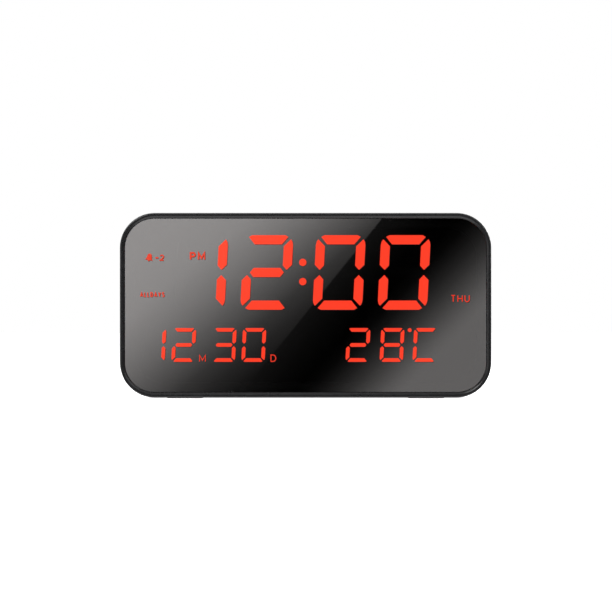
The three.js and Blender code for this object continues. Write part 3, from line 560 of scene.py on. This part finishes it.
def round_corners(points, radius, steps=3):
    """Replaces each corner of a convex outline with a short curve."""
    curved = []
    count = len(points)
    for i, point in enumerate(points):
        here = Vector(point)
        before, after = Vector(points[i - 1]), Vector(points[(i + 1) % count])
        reach = min(radius, 0.45 * (before - here).length, 0.45 * (after - here).length)
        start = here + (before - here).normalized() * reach
        end = here + (after - here).normalized() * reach
        for k in range(steps + 1):
            t = k / steps
            curved.append(tuple(start * (1 - t) ** 2 + here * 2 * t * (1 - t) + end * t ** 2))
    return curved


def inset(points, distance):
    """Moves every side of a convex outline inwards by the same distance."""
    count = len(points)
    middle = sum((Vector(p) for p in points), Vector((0, 0))) / count
    sides = []
    for i in range(count):
        start, end = Vector(points[i]), Vector(points[(i + 1) % count])
        normal = Vector((start.y - end.y, end.x - start.x)).normalized()
        if normal.dot(middle - start) < 0:
            normal.negate()
        sides.append((start + normal * distance, end - start))
    corners = []
    for i in range(count):
        (a, along_a), (b, along_b) = sides[i - 1], sides[i]
        cross = along_a.cross(along_b)
        corners.append(tuple(a + along_a * ((b - a).cross(along_b) / cross)))
    return corners


def island(points, front, material_index):
    """One raised window of a diffuser: a prism with a softened rim, in millimetre points."""
    outer = [(x * MM, z * MM) for x, z in points]
    inner = [(x * MM, z * MM) for x, z in inset(points, ISLAND_RIM)]
    rings = [
        in_face(outer, ISLAND_BACK_Y), in_face(outer, front + ISLAND_RIM * MM),
        in_face(inner, front)]
    piece = loft("island", rings, smooth_angle=30)
    piece["material_index"] = material_index
    return piece


def lit_island_and_shadow(points):
    """A lit window, and a painted shadow beside it: an unlit copy shifted down and to the right."""
    painted_shadow = [(x + PAINTED_SHADOW_SHIFT, z - PAINTED_SHADOW_SHIFT) for x, z in points]
    return [island(points, LIT_FRONT_Y, ON), island(painted_shadow, PAINTED_SHADOW_FRONT_Y, OFF_AND_SHADOW)]


def make_diffuser(key, style, characters):
    """A diffuser with its characters, dots and windows: raised, and lit where they are on."""
    node = key + "_diffuser"
    thickness = 1 * MM
    low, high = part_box(node)
    islands = []
    for character, centre in characters:
        for letter, outline in zip("abcdefg", stroke_outlines(style, centre)):
            outline = round_corners(inset(outline, style["glow_inset"]), STROKE_CORNER)
            if letter in STROKES_OF[character]:
                # A lit stroke also gets its painted shadow, a dark copy shifted down and to the right.
                islands += lit_island_and_shadow(outline)
            else:
                islands.append(island(outline, ISLAND_FRONT_Y, OFF_AND_SHADOW))
    for x, z, radius in DOTS.get(key, []):
        # A lit dot also gets its painted shadow, a dark copy shifted down and to the right.
        islands += lit_island_and_shadow(circle(radius - style["glow_inset"], x, z, 32))
    for x, z, width, height in WINDOWS.get(key, []):
        islands.append(island(rounded(width, height, 0.4, 4, x, z), ISLAND_FRONT_Y, OFF_AND_SHADOW))
    backing = block("backing", (low.x, high.y - thickness, low.z), (high.x, high.y, high.z))
    backing["material_index"] = OFF_AND_SHADOW
    piece = join(key + "_windows", [backing, *islands])
    shade(piece, 30)
    finish_piece(piece, ROOT, [LIT, UNLIT_AND_SHADOW], [node])


# ---- Legends ----


def bend(x, z, radius_x, radius_z, start, end, steps=8):
    """Points along part of an ellipse, in a letter's own unit square."""
    return [(x + radius_x * px, z + radius_z * pz) for px, pz in arc((0, 0), 1, start, end, steps)]


# Each letter's width for a height of one, and its centre lines in a unit square.
LETTERS = {
    "P": (0.74, [[(0, 0), (0, 1), *bend(0.6, 0.73, 0.4, 0.27, 90, -90), (0, 0.46)]]),
    "M": (0.95, [[(0, 0), (0, 1), (0.5, 0.2), (1, 1), (1, 0)]]),
    "D": (0.78, [[(0, 0), (0, 1), *bend(0.45, 0.5, 0.55, 0.5, 90, -90, 12), (-0.05, 0)]]),
    "T": (0.72, [[(0, 1), (1, 1)], [(0.5, 1), (0.5, 0)]]),
    "H": (0.8, [[(0, 0), (0, 1)], [(1, 0), (1, 1)], [(0, 0.5), (1, 0.5)]]),
    "U": (0.78, [[(0, 1), *bend(0.5, 0.36, 0.5, 0.36, 180, 360, 12), (1, 1)]]),
    "A": (0.85, [[(0, 0), (0.5, 1), (1, 0)], [(0.18, 0.3), (0.82, 0.3)]]),
    "L": (0.6, [[(0, 1), (0, 0), (1, 0)]]),
    "Y": (0.8, [[(0, 1), (0.5, 0.42), (1, 1)], [(0.5, 0.42), (0.5, 0)]]),
    "S": (0.72, [[
        *bend(0.5, 0.75, 0.5, 0.25, 25, 270, 10), *bend(0.5, 0.25, 0.5, 0.25, 90, -155, 10)[1:]]]),
    "2": (0.68, [[*bend(0.5, 0.7, 0.5, 0.3, 165, -40, 10), (0, 0), (1, 0)]]),
}


def ribbon(points, pen, y0, y1):
    """A flat bar of one width that follows a path, with mitred bends, in millimetre points."""
    path = [Vector(p) for p in points]
    rings = []
    for i, here in enumerate(path):
        before = (here - path[i - 1]).normalized() if i else (path[1] - here).normalized()
        after = (path[i + 1] - here).normalized() if i + 1 < len(path) else before
        normal = Vector((-before.y - after.y, before.x + after.x)).normalized()
        reach = pen / 2 / max(0.4, normal.dot(Vector((-before.y, before.x))))
        left, right = (here + normal * reach) * MM, (here - normal * reach) * MM
        rings.append(in_face([left, right], y0) + in_face([right, left], y1))
    return loft("ribbon", rings)


def word_bars(x, z, text, width, height, pen, front):
    """The strokes of a word in plain letters, centred at (x, z) and fitted to a size."""
    space = 0.24
    natural = sum(LETTERS[letter][0] for letter in text) + space * (len(text) - 1)
    left = x - width / 2
    low = z - height / 2
    bars = []
    for letter in text:
        share, lines = LETTERS[letter]
        letter_width = share / natural * width
        for line in lines:
            points = [
                (left + pen / 2 + u * (letter_width - pen), low + pen / 2 + v * (height - pen))
                for u, v in line]
            bars.append(ribbon(points, pen, front, LEGEND_BACK_Y))
        left += letter_width + space / natural * width
    return bars


def dash_bars(x, z, width, height, front):
    outline = rounded(width * MM, height * MM, 0.1 * MM, 3, x * MM, z * MM)
    return [prism("dash", outline, front, LEGEND_BACK_Y)]


def bell_bars(x, z, size, front):
    return [make_bell("bell", x, z, size, front, LEGEND_BACK_Y)]


def make_legend(name, draw, x, z, *shape):
    """A lit legend, and its painted shadow, an unlit copy shifted down and to the right, both drawn by the same
    function.
    """
    bars = draw(x, z, *shape, LIT_FRONT_Y)
    # The painted shadow: the same shapes, unlit, shifted down and to the right.
    painted_shadows = draw(x + PAINTED_SHADOW_SHIFT, z - PAINTED_SHADOW_SHIFT, *shape, PAINTED_SHADOW_FRONT_Y)
    for painted_shadow in painted_shadows:
        painted_shadow["material_index"] = OFF_AND_SHADOW
    legend = join(name, bars + painted_shadows)
    finish_piece(legend, ROOT, [LEGEND_LIT, UNLIT_AND_SHADOW])


def make_legends():
    for name, text, x, z, width, height, pen in WORDS:
        make_legend(name, word_bars, x, z, text, width, height, pen)
    make_legend("legend_dash", dash_bars, -64.1, 20.5, 1.3, 0.6)
    make_legend("legend_bell", bell_bars, -67.4, 20.6, 3.5)


def make_bell(name, x, z, size, y0, y1):
    """A bell seen from the side, tipped as if it rings, with its clapper below the rim."""
    outline = [
        (0.0, 0.5), (0.1, 0.48), (0.22, 0.38), (0.28, 0.2), (0.31, -0.05), (0.38, -0.2),
        (0.5, -0.3), (0.13, -0.3), (0.1, -0.42), (0.0, -0.46)]
    points = outline + [(-px, pz) for px, pz in reversed(outline[1:-1])]
    tilt = math.radians(-12)
    turned_points = [
        ((x + size * (px * math.cos(tilt) - pz * math.sin(tilt))) * MM,
         (z + size * (px * math.sin(tilt) + pz * math.cos(tilt))) * MM) for px, pz in points]
    return prism(name, turned_points, y0, y1)


# ---- Rear housing ----


RIM = 0.3 * MM
FINE_RIM = 0.2 * MM


def centre_of(node):
    low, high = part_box(node)
    return (low + high) / 2


def face_x_z(point):
    return point.x, point.z - FACE_Z


def mouth(outline, y0, rim=RIM):
    """A cutter for an opening in the rear wall, whose edge it leaves rounded."""
    rings = [in_face(outline(0), y0)]
    for grow, rise in arc((rim, -rim), rim, 180, 90, 4):
        rings.append(in_face(outline(grow), REAR_Y + rise))
    rings.append(in_face(outline(rim), REAR_Y + 5 * PAST))
    return loft("mouth", rings)


def round_mouth(radius, x, z, y0, rim=RIM, steps=48):
    return mouth(lambda grow: circle(radius + grow, x, z, steps), y0, rim)


def post(radius, x, z, y0, y1):
    return prism("post", circle(radius, x, z), y0, y1)


def on_hinge(name, radius, start, end):
    """Two round bars on the door's hinge line, one on each side of the middle."""
    outline = circle(radius, HINGE_Y, HINGE_Z, 24)
    return [prism_across(name, outline, *sorted((side * start, side * end))) for side in (-1, 1)]


SCREWS = [face_x_z(centre_of(f"case_screw_{i + 1}")) for i in range(4)]
SCREW_SEAT_Y = SPLIT_Y + 2.5 * MM
CELLS = [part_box(f"battery_{i + 1}") for i in range(3)]
TUB_HALF = 24.5 * MM
TUB_LOW_Z = min(low.z for low, high in CELLS) - 0.65 * MM
TUB_HIGH_Z = max(high.z for low, high in CELLS) + 0.65 * MM
TUB_FLOOR_Y = CELLS[0][0].y - 0.15 * MM


def make_housing():
    """The rear shell: hollow inside, with a tongue that enters the bezel and rounded rear edges."""
    width = HOUSING_HIGH.x - HOUSING_LOW.x
    height = HOUSING_HIGH.z - HOUSING_LOW.z
    radius = CORNER - (WIDTH - width) / 2
    edge, split_edge = 4 * MM, 0.2 * MM
    tongue = 0.6 * MM

    def at(step, y):
        return in_face(grown(width, height, radius, -step), y)

    rings = [
        at(WALL, WALL_Y), at(WALL, HOUSING_LOW.y), at(tongue, HOUSING_LOW.y), at(tongue, SPLIT_Y),
        at(split_edge, SPLIT_Y), at(0, SPLIT_Y + split_edge)]
    rings += [at(step, REAR_Y + depth) for step, depth in arc((edge, -edge), edge, 180, 90, 14)]
    shell = loft("housing_shell", rings)
    combine(shell, housing_solids(), "UNION")
    combine(shell, rear_cutters() + top_and_bottom_cutters() + battery_cutters(), "DIFFERENCE")
    shade(shell)
    flatten_shading(shell)
    finish_piece(shell, ROOT, [CASE], ["rear_housing"])


def housing_solids():
    """The screw posts and the block that the battery tub is cut from."""
    wall = 3.3 * MM
    floor = 1.5 * MM
    solids = [post(4.2 * MM, x, z, SPLIT_Y, WALL_Y + 0.5 * MM) for x, z in SCREWS]
    solids.append(block(
        "tub", (-TUB_HALF - wall, TUB_FLOOR_Y - floor, HOUSING_LOW.z + 1.6 * MM),
        (TUB_HALF + wall, WALL_Y + 0.2 * MM, TUB_HIGH_Z + wall)))
    return solids


def rear_cutters():
    """Openings for the screws, the buttons and the socket, and the buzzer's holes."""
    screw_head, screw_shank = 2.7 * MM, 1.5 * MM
    button_hole = 3.6 * MM
    buzzer_hole, buzzer_ring = 0.8 * MM, 3.2 * MM
    behind_wall = WALL_Y - PAST
    tools = [round_mouth(screw_head, x, z, SCREW_SEAT_Y) for x, z in SCREWS]
    tools += [post(screw_shank, x, z, SPLIT_Y - PAST, SCREW_SEAT_Y + 0.5 * MM) for x, z in SCREWS]
    for name in BUTTONS:
        tools.append(round_mouth(button_hole, *face_x_z(centre_of(name + "_button")), behind_wall))
    low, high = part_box("usb_socket")
    socket_x, socket_z = face_x_z((low + high) / 2)
    wide, tall = high.x - low.x + 1 * MM, high.z - low.z + 1 * MM

    tools.append(mouth(
        lambda grow: grown(wide, tall, tall / 2 - HAIR, grow, 12, socket_x, socket_z),
        behind_wall))
    x, z = face_x_z(centre_of("buzzer"))
    for dx, dz in [(0, 0), *circle(buzzer_ring, steps=6)]:
        tools.append(round_mouth(buzzer_hole, x + dx, z + dz, behind_wall, FINE_RIM, 24))
    return tools


def top_and_bottom_cutters():
    """The snooze bar's slot, five vents and the rear feet's pockets."""
    slack = 0.4 * MM
    below = HOUSING_LOW.z - PAST
    tools = [make_bar_mouth()]
    for i in range(5):
        vent = rounded(1.4 * MM, 8 * MM, 0.65 * MM, 6, (51 + 3 * i) * MM, -1 * MM)
        tools.append(prism_up("vent", vent, below, HOUSING_LOW.z + WALL + PAST))
    for name in ("rear_left_foot", "rear_right_foot"):
        low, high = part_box(name)
        mid = (low + high) / 2
        wide, deep = high.x - low.x + slack, high.y - low.y + slack
        pocket = rounded(wide, deep, 2 * MM, 8, mid.x, mid.y)
        tools.append(prism_up("foot_pocket", pocket, below, high.z))
    return tools


def battery_cutters():
    """The hollow for the cells, the door's recess with its thumb notch, and its pin holes."""
    low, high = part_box("battery_door")
    half = high.x - PIN_REACH + CLEARANCE
    bottom, top = low.z - 0.5 * MM, high.z + CLEARANCE
    middle = (bottom + top) / 2 - FACE_Z
    hole_radius, hole_depth = 0.8 * MM, 1.3 * MM
    tools = [
        block("tub_hollow", (-TUB_HALF, TUB_FLOOR_Y, TUB_LOW_Z), (TUB_HALF, REAR_Y, TUB_HIGH_Z)),
        mouth(lambda grow: grown(2 * half, top - bottom, 0.3 * MM, grow, 4, 0, middle),
              low.y - 0.1 * MM, FINE_RIM),
        round_mouth(6 * MM, 0, top - 1 * MM - FACE_Z, REAR_Y - 1.2 * MM, FINE_RIM, 64)]
    return tools + on_hinge("pin_hole", hole_radius, half - 0.1 * MM, half + hole_depth)


def bar_outline(grow, z, steps):
    """The snooze bar's outline at a height, grown by a distance."""
    low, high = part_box("snooze_bar")
    width = high.x - low.x - 2 * BAR_COLLAR
    depth = high.y - low.y - 2 * BAR_COLLAR
    points = grown(width, depth, depth / 2 - HAIR, grow, steps, 0, (low.y + high.y) / 2)
    return [Vector((x, y, z)) for x, y in points]


def make_bar_mouth():
    """The cutter for the snooze bar's slot in the top wall, with a rounded edge."""
    top = HOUSING_HIGH.z
    rings = [bar_outline(CLEARANCE, top - WALL - PAST, 16)]
    for grow, rise in arc((RIM, -RIM), RIM, 180, 90, 4):
        rings.append(bar_outline(CLEARANCE + grow, top + rise, 16))
    rings.append(bar_outline(CLEARANCE + RIM, top + 2 * PAST, 16))
    return loft("bar_mouth", rings)


# ---- Battery door, cells ----


def make_door():
    """A plate that turns on two pins, with a slotted tongue and finger grooves at its top."""
    low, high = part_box("battery_door")
    half = high.x - PIN_REACH
    edge = 0.25 * MM
    nose = arc((HINGE_Y, HINGE_Z), (high.y - low.y) / 2, 180, 360, 16)
    outline = round_corners([(high.y, high.z), (low.y, high.z), *nose], edge)

    def at(x, step):
        points = inset(outline, step) if step else outline
        return [Vector((x, y, z)) for y, z in points]

    door = loft("door_panel", [
        at(-half, edge), at(-half + 0.3 * edge, 0.3 * edge), at(-half + edge, 0),
        at(half - edge, 0), at(half - 0.3 * edge, 0.3 * edge), at(half, edge)])
    tongue_half = 6 * MM
    slot_half, slot_depth = 0.5 * MM, 8 * MM
    tools = [
        block("slot", (x - slot_half, low.y - PAST, high.z - slot_depth),
              (x + slot_half, high.y + PAST, high.z + PAST))
        for x in (-tongue_half, tongue_half)]
    groove_radius, groove_half, groove_pitch = 0.45 * MM, 4.4 * MM, 1.2 * MM
    for i in range(5):
        groove = circle(
            groove_radius, high.y + 0.15 * MM, high.z - 6.6 * MM + i * groove_pitch, 24)
        tools.append(prism_across("groove", groove, -groove_half, groove_half))
    combine(door, tools, "DIFFERENCE")
    combine(door, on_hinge("pin", PIN_RADIUS, half - 0.5 * MM, half + PIN_REACH), "UNION")
    shade(door)
    flatten_shading(door)
    finish_piece(door, "battery_door", [CASE], ["battery_door"])


# A cell's outline from its flat end, in millimetres: a material, then (radius, place along it).
CELL_RADIUS = 5.15
CELL_LENGTH = 44.5
CELL_MATERIALS = [METAL, JACKET, BAND]
CELL_OUTLINE = [
    (0, [(0, 0.15), (3.6, 0.15), (3.8, 0.35), (4.3, 0.35), (4.5, 0.2), (4.75, 0.3)]),
    (1, [(4.9, 0.15), (5.1, 0.3), (5.15, 0.6), (5.15, 31.0)]),
    (2, [(5.15, 42.8), (5.05, 43.1), (4.8, 43.2)]),
    (0, [(4.6, 43.0), (2.2, 43.1), (2.0, 43.3), (1.9, 44.3), (1.7, 44.5), (0, 44.5)]),
]


def make_cell(name, nub_side):
    """A cell with a nickel can that shows at both ends of its printed jacket."""
    low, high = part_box(name)
    radius = (high.z - low.z) / 2
    length = high.x - low.x
    mid_y, mid_z = (low.y + high.y) / 2, (low.z + high.z) / 2
    flat_end = high.x if nub_side < 0 else low.x
    steps = 48
    verts, faces, marks = [], [], []
    for index, points in CELL_OUTLINE:
        for r, along in points:
            x = flat_end + nub_side * along / CELL_LENGTH * length
            row = len(verts)
            rim = circle(max(r / CELL_RADIUS * radius, HAIR), mid_y, mid_z, steps)
            verts += [(x, y, z) for y, z in rim]
            if not row:
                continue
            for i in range(steps):
                k = (i + 1) % steps
                faces.append((row - steps + i, row - steps + k, row + k, row + i))
                marks.append(index)
    cell = build(name + "_detail", verts, faces, 40, marks, merge=10 * HAIR)
    finish_piece(cell, ROOT, CELL_MATERIALS, [name])


# ---- Buttons, snooze bar, socket, feet ----


def make_button(name):
    """A round cap with a collar behind the wall and a dished front."""
    low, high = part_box(name + "_button")
    mid = (low + high) / 2
    collar = (high.x - low.x) / 2
    radius = collar - 0.9 * MM
    base, top = low.y, high.y
    collar_top = base + 0.7 * MM
    edge, dish = 0.45 * MM, 0.25 * MM
    dish_radius = radius - 0.5 * MM
    profile = [
        (0, base), (collar, base), (collar, collar_top), (radius, collar_top), (radius, top - edge)]
    profile += [(radius - edge + r, y) for r, y in arc((0, top - edge), edge, 10, 90, 6)]
    for t in (0.2, 0.4, 0.6, 0.8, 1.0):
        profile.append((dish_radius * (1 - t), top - dish * (1 - (1 - t) ** 2)))
    button = turned(name + "_cap", profile, mid.x, mid.z, 64)
    finish_piece(button, name + "_key", [BUTTON], [name + "_button"])


def make_snooze_bar():
    """A long key with a collar under the wall, a rounded edge and a shallow dish along its top."""
    low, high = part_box("snooze_bar")
    steps = 20
    edge = 0.6 * MM
    collar_top = low.z + 1 * MM
    rings = [
        bar_outline(BAR_COLLAR, low.z, steps), bar_outline(BAR_COLLAR, collar_top, steps),
        bar_outline(0, collar_top, steps)]
    for step, rise in arc((edge, 0), edge, 180, 90, 6):
        rings.append(bar_outline(-step, high.z - edge + rise, steps))
    rings.append(bar_outline(-1.6 * MM, high.z, steps))
    rings.append(bar_outline(-2.2 * MM, high.z - 0.25 * MM, steps))
    bar = loft("snooze_key", rings)
    finish_piece(bar, "snooze", [BUTTON], ["snooze_bar"])


def make_socket():
    """The socket's plated shell with its contact tongue inside."""
    low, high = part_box("usb_socket")
    mid = (low + high) / 2
    width, height = high.x - low.x, high.z - low.z
    x, z = face_x_z(mid)
    wall, lip = 0.35 * MM, 0.1 * MM

    def at(step, y):
        return in_face(grown(width, height, height / 2 - HAIR, -step, 12, x, z), y)

    shell = loft("socket_shell", [
        at(0, low.y), at(0, high.y - lip), at(lip, high.y), at(wall - lip, high.y),
        at(wall, high.y - lip), at(wall, low.y + 1 * MM)])
    finish_piece(shell, ROOT, [METAL], ["usb_socket"])
    tongue_half, tongue_rise, setback = 3.3 * MM, 0.35 * MM, 0.9 * MM
    tongue = block(
        "socket_tongue", (mid.x - tongue_half, low.y + setback, mid.z - tongue_rise),
        (mid.x + tongue_half, high.y - setback, mid.z + tongue_rise))
    soften(tongue, 0.1 * MM)
    finish_piece(tongue, ROOT, [MASK])


def make_foot(name):
    low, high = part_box(name)
    mid = (low + high) / 2
    width, depth = high.x - low.x, high.y - low.y
    edge, radius = 0.25 * MM, 1.8 * MM

    def at(step, z):
        points = grown(width, depth, radius, -step, 8, mid.x, mid.y)
        return [Vector((x, y, z)) for x, y in points]

    foot = loft(name + "_pad", [at(edge, low.z), at(0, low.z + edge), at(0, high.z)])
    finish_piece(foot, ROOT, [RUBBER], [name])


# ---- Icons printed on the back ----


def triangle(x, z, size, up):
    sign = 1 if up else -1
    base = z - sign * 0.55 * size
    return [(x - size, base), (x + size, base), (x, z + sign * size)]


def print_piece(name, points):
    piece = prism(name, points, REAR_Y - PRINT_DEPTH, REAR_Y + PRINT_DEPTH)
    finish_piece(piece, ROOT, [PRINT])


def make_icons():
    """Small marks above the rear buttons, seen from behind: bell, down, up, menu, set."""
    rise = 7.2 * MM
    spots = {}
    for name in BUTTONS:
        x, z = face_x_z(centre_of(name + "_button"))
        spots[name] = (x, z + rise)
    print_piece("icon_down", triangle(*spots["down"], 1.25 * MM, False))
    print_piece("icon_up", triangle(*spots["up"], 1.25 * MM, True))
    x, z = spots["mode"]
    for i in range(3):
        bar = rounded(2.4 * MM, 0.45 * MM, 0.15 * MM, 3, x, z + (i - 1) * 0.9 * MM)
        print_piece(f"icon_mode_{i + 1}", bar)
    x, z = spots["set"]
    reach = 1.2 * MM
    print_piece("icon_set_dot", circle(0.45 * MM, x, z, 24))
    for i in range(4):
        angle = math.radians(45 + 90 * i)
        print_piece(f"icon_set_{i + 1}", circle(
            0.3 * MM, x + reach * math.cos(angle), z + reach * math.sin(angle), 16))
    x, z = spots["alarm"]
    bell = make_bell(
        "icon_alarm", x / MM, z / MM, 3.0, REAR_Y - PRINT_DEPTH, REAR_Y + PRINT_DEPTH)
    finish_piece(bell, ROOT, [PRINT])


# ---- Studio ----


CAMERA_DISTANCE = 2.5
VIEW_WIDTH = 263.7 * MM
CARD_GAP = 0.1          # from the camera back to the cards
CARD_REACH = 50         # half a card's height as the lens shows it, in millimetres
CARD_END = 95           # how far the cards go to the sides

# A card's light at places along its own direction, in millimetres on the lens.
LEFT_STOPS = [
    (-120, 0.95), (-98.8, 0.93), (-84, 0.89), (-70.8, 0.83), (-51.4, 0.6), (-29.8, 0.31),
    (-11.2, 0.112), (0.4, 0.057), (13.4, 0.02)]
RIGHT_STOPS = [
    (30, 0.0), (36, 0.004), (42, 0.018), (48, 0.045), (54, 0.09), (60, 0.16), (66, 0.245),
    (72, 0.34), (77, 0.39), (90, 0.39)]
FLAG_STOPS = [(2.4, 0.016), (8, 0.011), (14, 0.006), (20, 0.0025), (26, 0.0)]

# How far each card's inner edge moves right for each unit up, and where it crosses the middle.
LEFT_EDGE = (0.804, 2.4)
RIGHT_EDGE = (0.96, 30)

# The light of the surroundings from straight below (0) to straight above (1).
DOME_STOPS = [
    (0.0, 0.5), (0.03, 1.4), (0.08, 1.8), (0.14, 0.65), (0.2, 0.16), (0.36, 0.1), (0.48, 0.03),
    (0.85, 0.1), (0.93, 0.75), (1.0, 0.35)]

# Each lamp: name, place, size and power.
LAMPS = [
    ("key", (-0.7, -0.9, 1.1), 0.6, 8.0),
    ("fill", (0.9, -0.7, 0.8), 0.8, 3.2),
    ("side", (-1.3, -0.6, 0.1), 0.8, 2.4),
    ("rear_left", (-0.9, 0.6, 1.0), 0.8, 9.0),
    ("rear_right", (0.7, 1.2, 0.35), 0.5, 9.0),
    ("rear_top", (0.0, 0.6, 1.3), 0.9, 7.0),
]


def stage_plane(name, corners, material):
    """A flat piece of the studio, which isn't part of the clock."""
    mesh = bpy.data.meshes.new(name)
    mesh.from_pydata(corners, [], [tuple(range(len(corners)))])
    obj = add_to_scene(name, mesh)
    obj.data.materials.append(material)
    return obj


def fill_ramp(ramp, stops):
    """Puts stops on a colour ramp whose ends are the first and the last of them."""
    low, high = stops[0][0], stops[-1][0]
    elements = ramp.color_ramp.elements
    while len(elements) < len(stops):
        elements.new(0.5)
    for element, (place, light) in zip(elements, stops):
        element.position = (place - low) / (high - low)
        element.color = (light, light, light, 1)


def glow_card(name, stops, slope, scale):
    """A card's light, which changes from left to right across lines that lean by a slope."""
    nodes = Nodes(name)
    split = nodes.add("ShaderNodeSeparateXYZ")
    nodes.link(nodes.place, split.inputs["Vector"])
    first = nodes.add("ShaderNodeMath", {1: 1 / scale}, operation="MULTIPLY")
    nodes.link(split.outputs["X"], first.inputs[0])
    total = nodes.add("ShaderNodeMath", {1: -slope / scale}, operation="MULTIPLY_ADD")
    nodes.link(split.outputs["Z"], total.inputs[0])
    nodes.link(first.outputs[0], total.inputs[2])
    position = nodes.add("ShaderNodeMapRange", {
        "From Min": stops[0][0] * MM, "From Max": stops[-1][0] * MM})
    nodes.link(total.outputs[0], position.inputs["Value"])
    ramp = nodes.add("ShaderNodeValToRGB")
    fill_ramp(ramp, stops)
    nodes.link(position.outputs["Result"], ramp.inputs["Fac"])
    glow = nodes.add("ShaderNodeEmission")
    nodes.link(ramp.outputs["Color"], glow.inputs["Color"])
    return nodes.finished(glow.outputs["Emission"])


def only_in_reflections(obj):
    obj.visible_camera = False
    obj.visible_diffuse = False
    obj.visible_shadow = False
    obj.visible_transmission = False


def make_camera():
    camera = bpy.data.cameras.new("camera")
    camera.sensor_width = 36
    camera.lens = camera.sensor_width * CAMERA_DISTANCE / VIEW_WIDTH
    camera.clip_end = 50
    eye = add_to_scene("camera", camera)
    front_plane = FACE_Y + 1.2 * MM
    eye.location = (0.18 * MM, front_plane - CAMERA_DISTANCE, FACE_Z - 0.3 * MM)
    eye.rotation_euler = (math.radians(90), 0, 0)
    bpy.context.scene.camera = eye
    return eye


def make_cards(eye):
    """Cards behind the camera, which only the lens mirrors.

    A point of the lens sees the cards at "scale" times its own distance from the middle."""
    card_y = eye.location.y - CARD_GAP
    scale = 1 + (LENS_LOW.y - card_y) / (LENS_LOW.y - eye.location.y)

    def on_card(x, z):
        return (x * MM * scale, 0, z * MM * scale)

    def on_edge(edge, z):
        slope, middle = edge
        return on_card(middle + slope * z, z)

    half_width, half_height, behind = 0.4, 0.3, 0.06
    flag = stage_plane("flag", [
        (-half_width, -behind, -half_height), (half_width, -behind, -half_height),
        (half_width, -behind, half_height), (-half_width, -behind, half_height),
    ], glow_card("dark_flag", FLAG_STOPS, LEFT_EDGE[0], scale))
    left = stage_plane("left_card", [
        on_card(-CARD_END, -CARD_REACH), on_edge(LEFT_EDGE, -CARD_REACH),
        on_edge(LEFT_EDGE, CARD_REACH), on_card(-CARD_END, CARD_REACH),
    ], glow_card("left_light", LEFT_STOPS, 1.19, scale))
    right = stage_plane("right_card", [
        on_edge(RIGHT_EDGE, -CARD_REACH), on_card(CARD_END, -CARD_REACH),
        on_card(CARD_END, CARD_REACH), on_edge(RIGHT_EDGE, CARD_REACH),
    ], glow_card("right_light", RIGHT_STOPS, RIGHT_EDGE[0], scale))
    for card in (flag, left, right):
        card.location = (eye.location.x, card_y, eye.location.z)
        only_in_reflections(card)


def make_world():
    """White where the camera looks, and a dome of soft light for everything else."""
    world = bpy.data.worlds.new("studio")
    bpy.context.scene.world = world
    world.use_nodes = True
    nodes = world.node_tree.nodes
    link = world.node_tree.links.new
    nodes.clear()
    out = nodes.new("ShaderNodeOutputWorld")
    seen = nodes.new("ShaderNodeBackground")
    seen.inputs["Color"].default_value = (1, 1, 1, 1)
    lit = nodes.new("ShaderNodeBackground")
    direction = nodes.new("ShaderNodeSeparateXYZ")
    link(nodes.new("ShaderNodeTexCoord").outputs["Generated"], direction.inputs["Vector"])
    rise = nodes.new("ShaderNodeMapRange")
    rise.inputs["From Min"].default_value = -1
    link(direction.outputs["Z"], rise.inputs["Value"])
    dome = nodes.new("ShaderNodeValToRGB")
    fill_ramp(dome, DOME_STOPS)
    link(rise.outputs["Result"], dome.inputs["Fac"])
    link(dome.outputs["Color"], lit.inputs["Color"])
    choose = nodes.new("ShaderNodeMixShader")
    link(nodes.new("ShaderNodeLightPath").outputs["Is Camera Ray"], choose.inputs["Fac"])
    link(lit.outputs["Background"], choose.inputs[1])
    link(seen.outputs["Background"], choose.inputs[2])
    link(choose.outputs["Shader"], out.inputs["Surface"])


def make_floor():
    nodes = Nodes("floor_white")
    shader = nodes.add("ShaderNodeBsdfPrincipled", {
        "Roughness": 0.9, "Base Color": (0.9, 0.9, 0.9, 1), "Emission Color": (1, 1, 1, 1),
        "Emission Strength": 0.9})
    material = nodes.finished(shader.outputs["BSDF"])
    floor = stage_plane("floor", [(-4, -4, 0), (4, -4, 0), (4, 6, 0), (-4, 6, 0)], material)
    floor.visible_glossy = False


def make_lamps():
    target = Vector((0, 0, FACE_Z))
    for name, place, size, power in LAMPS:
        lamp = bpy.data.lights.new(name, "AREA")
        lamp.energy = power
        lamp.size = size
        holder = add_to_scene(name, lamp)
        holder.location = place
        holder.rotation_euler = (target - Vector(place)).to_track_quat("-Z", "Y").to_euler()


def make_studio():
    make_cards(make_camera())
    make_world()
    make_floor()
    make_lamps()
    bpy.context.scene.view_settings.view_transform = "Standard"


make_bezel()
make_lens()
make_diffuser("time", TIME, TIME_CHARACTERS)
make_diffuser("date", DATE, DATE_CHARACTERS)
make_diffuser("temperature", DATE, TEMPERATURE_CHARACTERS)
make_diffuser("weekday", DATE, [])
make_diffuser("alarm_legend", DATE, [])
make_legends()
make_housing()
make_door()
for number, nub_side in ((1, -1), (2, 1), (3, -1)):
    make_cell(f"battery_{number}", nub_side)
for button_name in BUTTONS:
    make_button(button_name)
make_snooze_bar()
make_socket()
for foot_name in ("front_left_foot", "front_right_foot", "rear_left_foot", "rear_right_foot"):
    make_foot(foot_name)
make_icons()
make_studio()
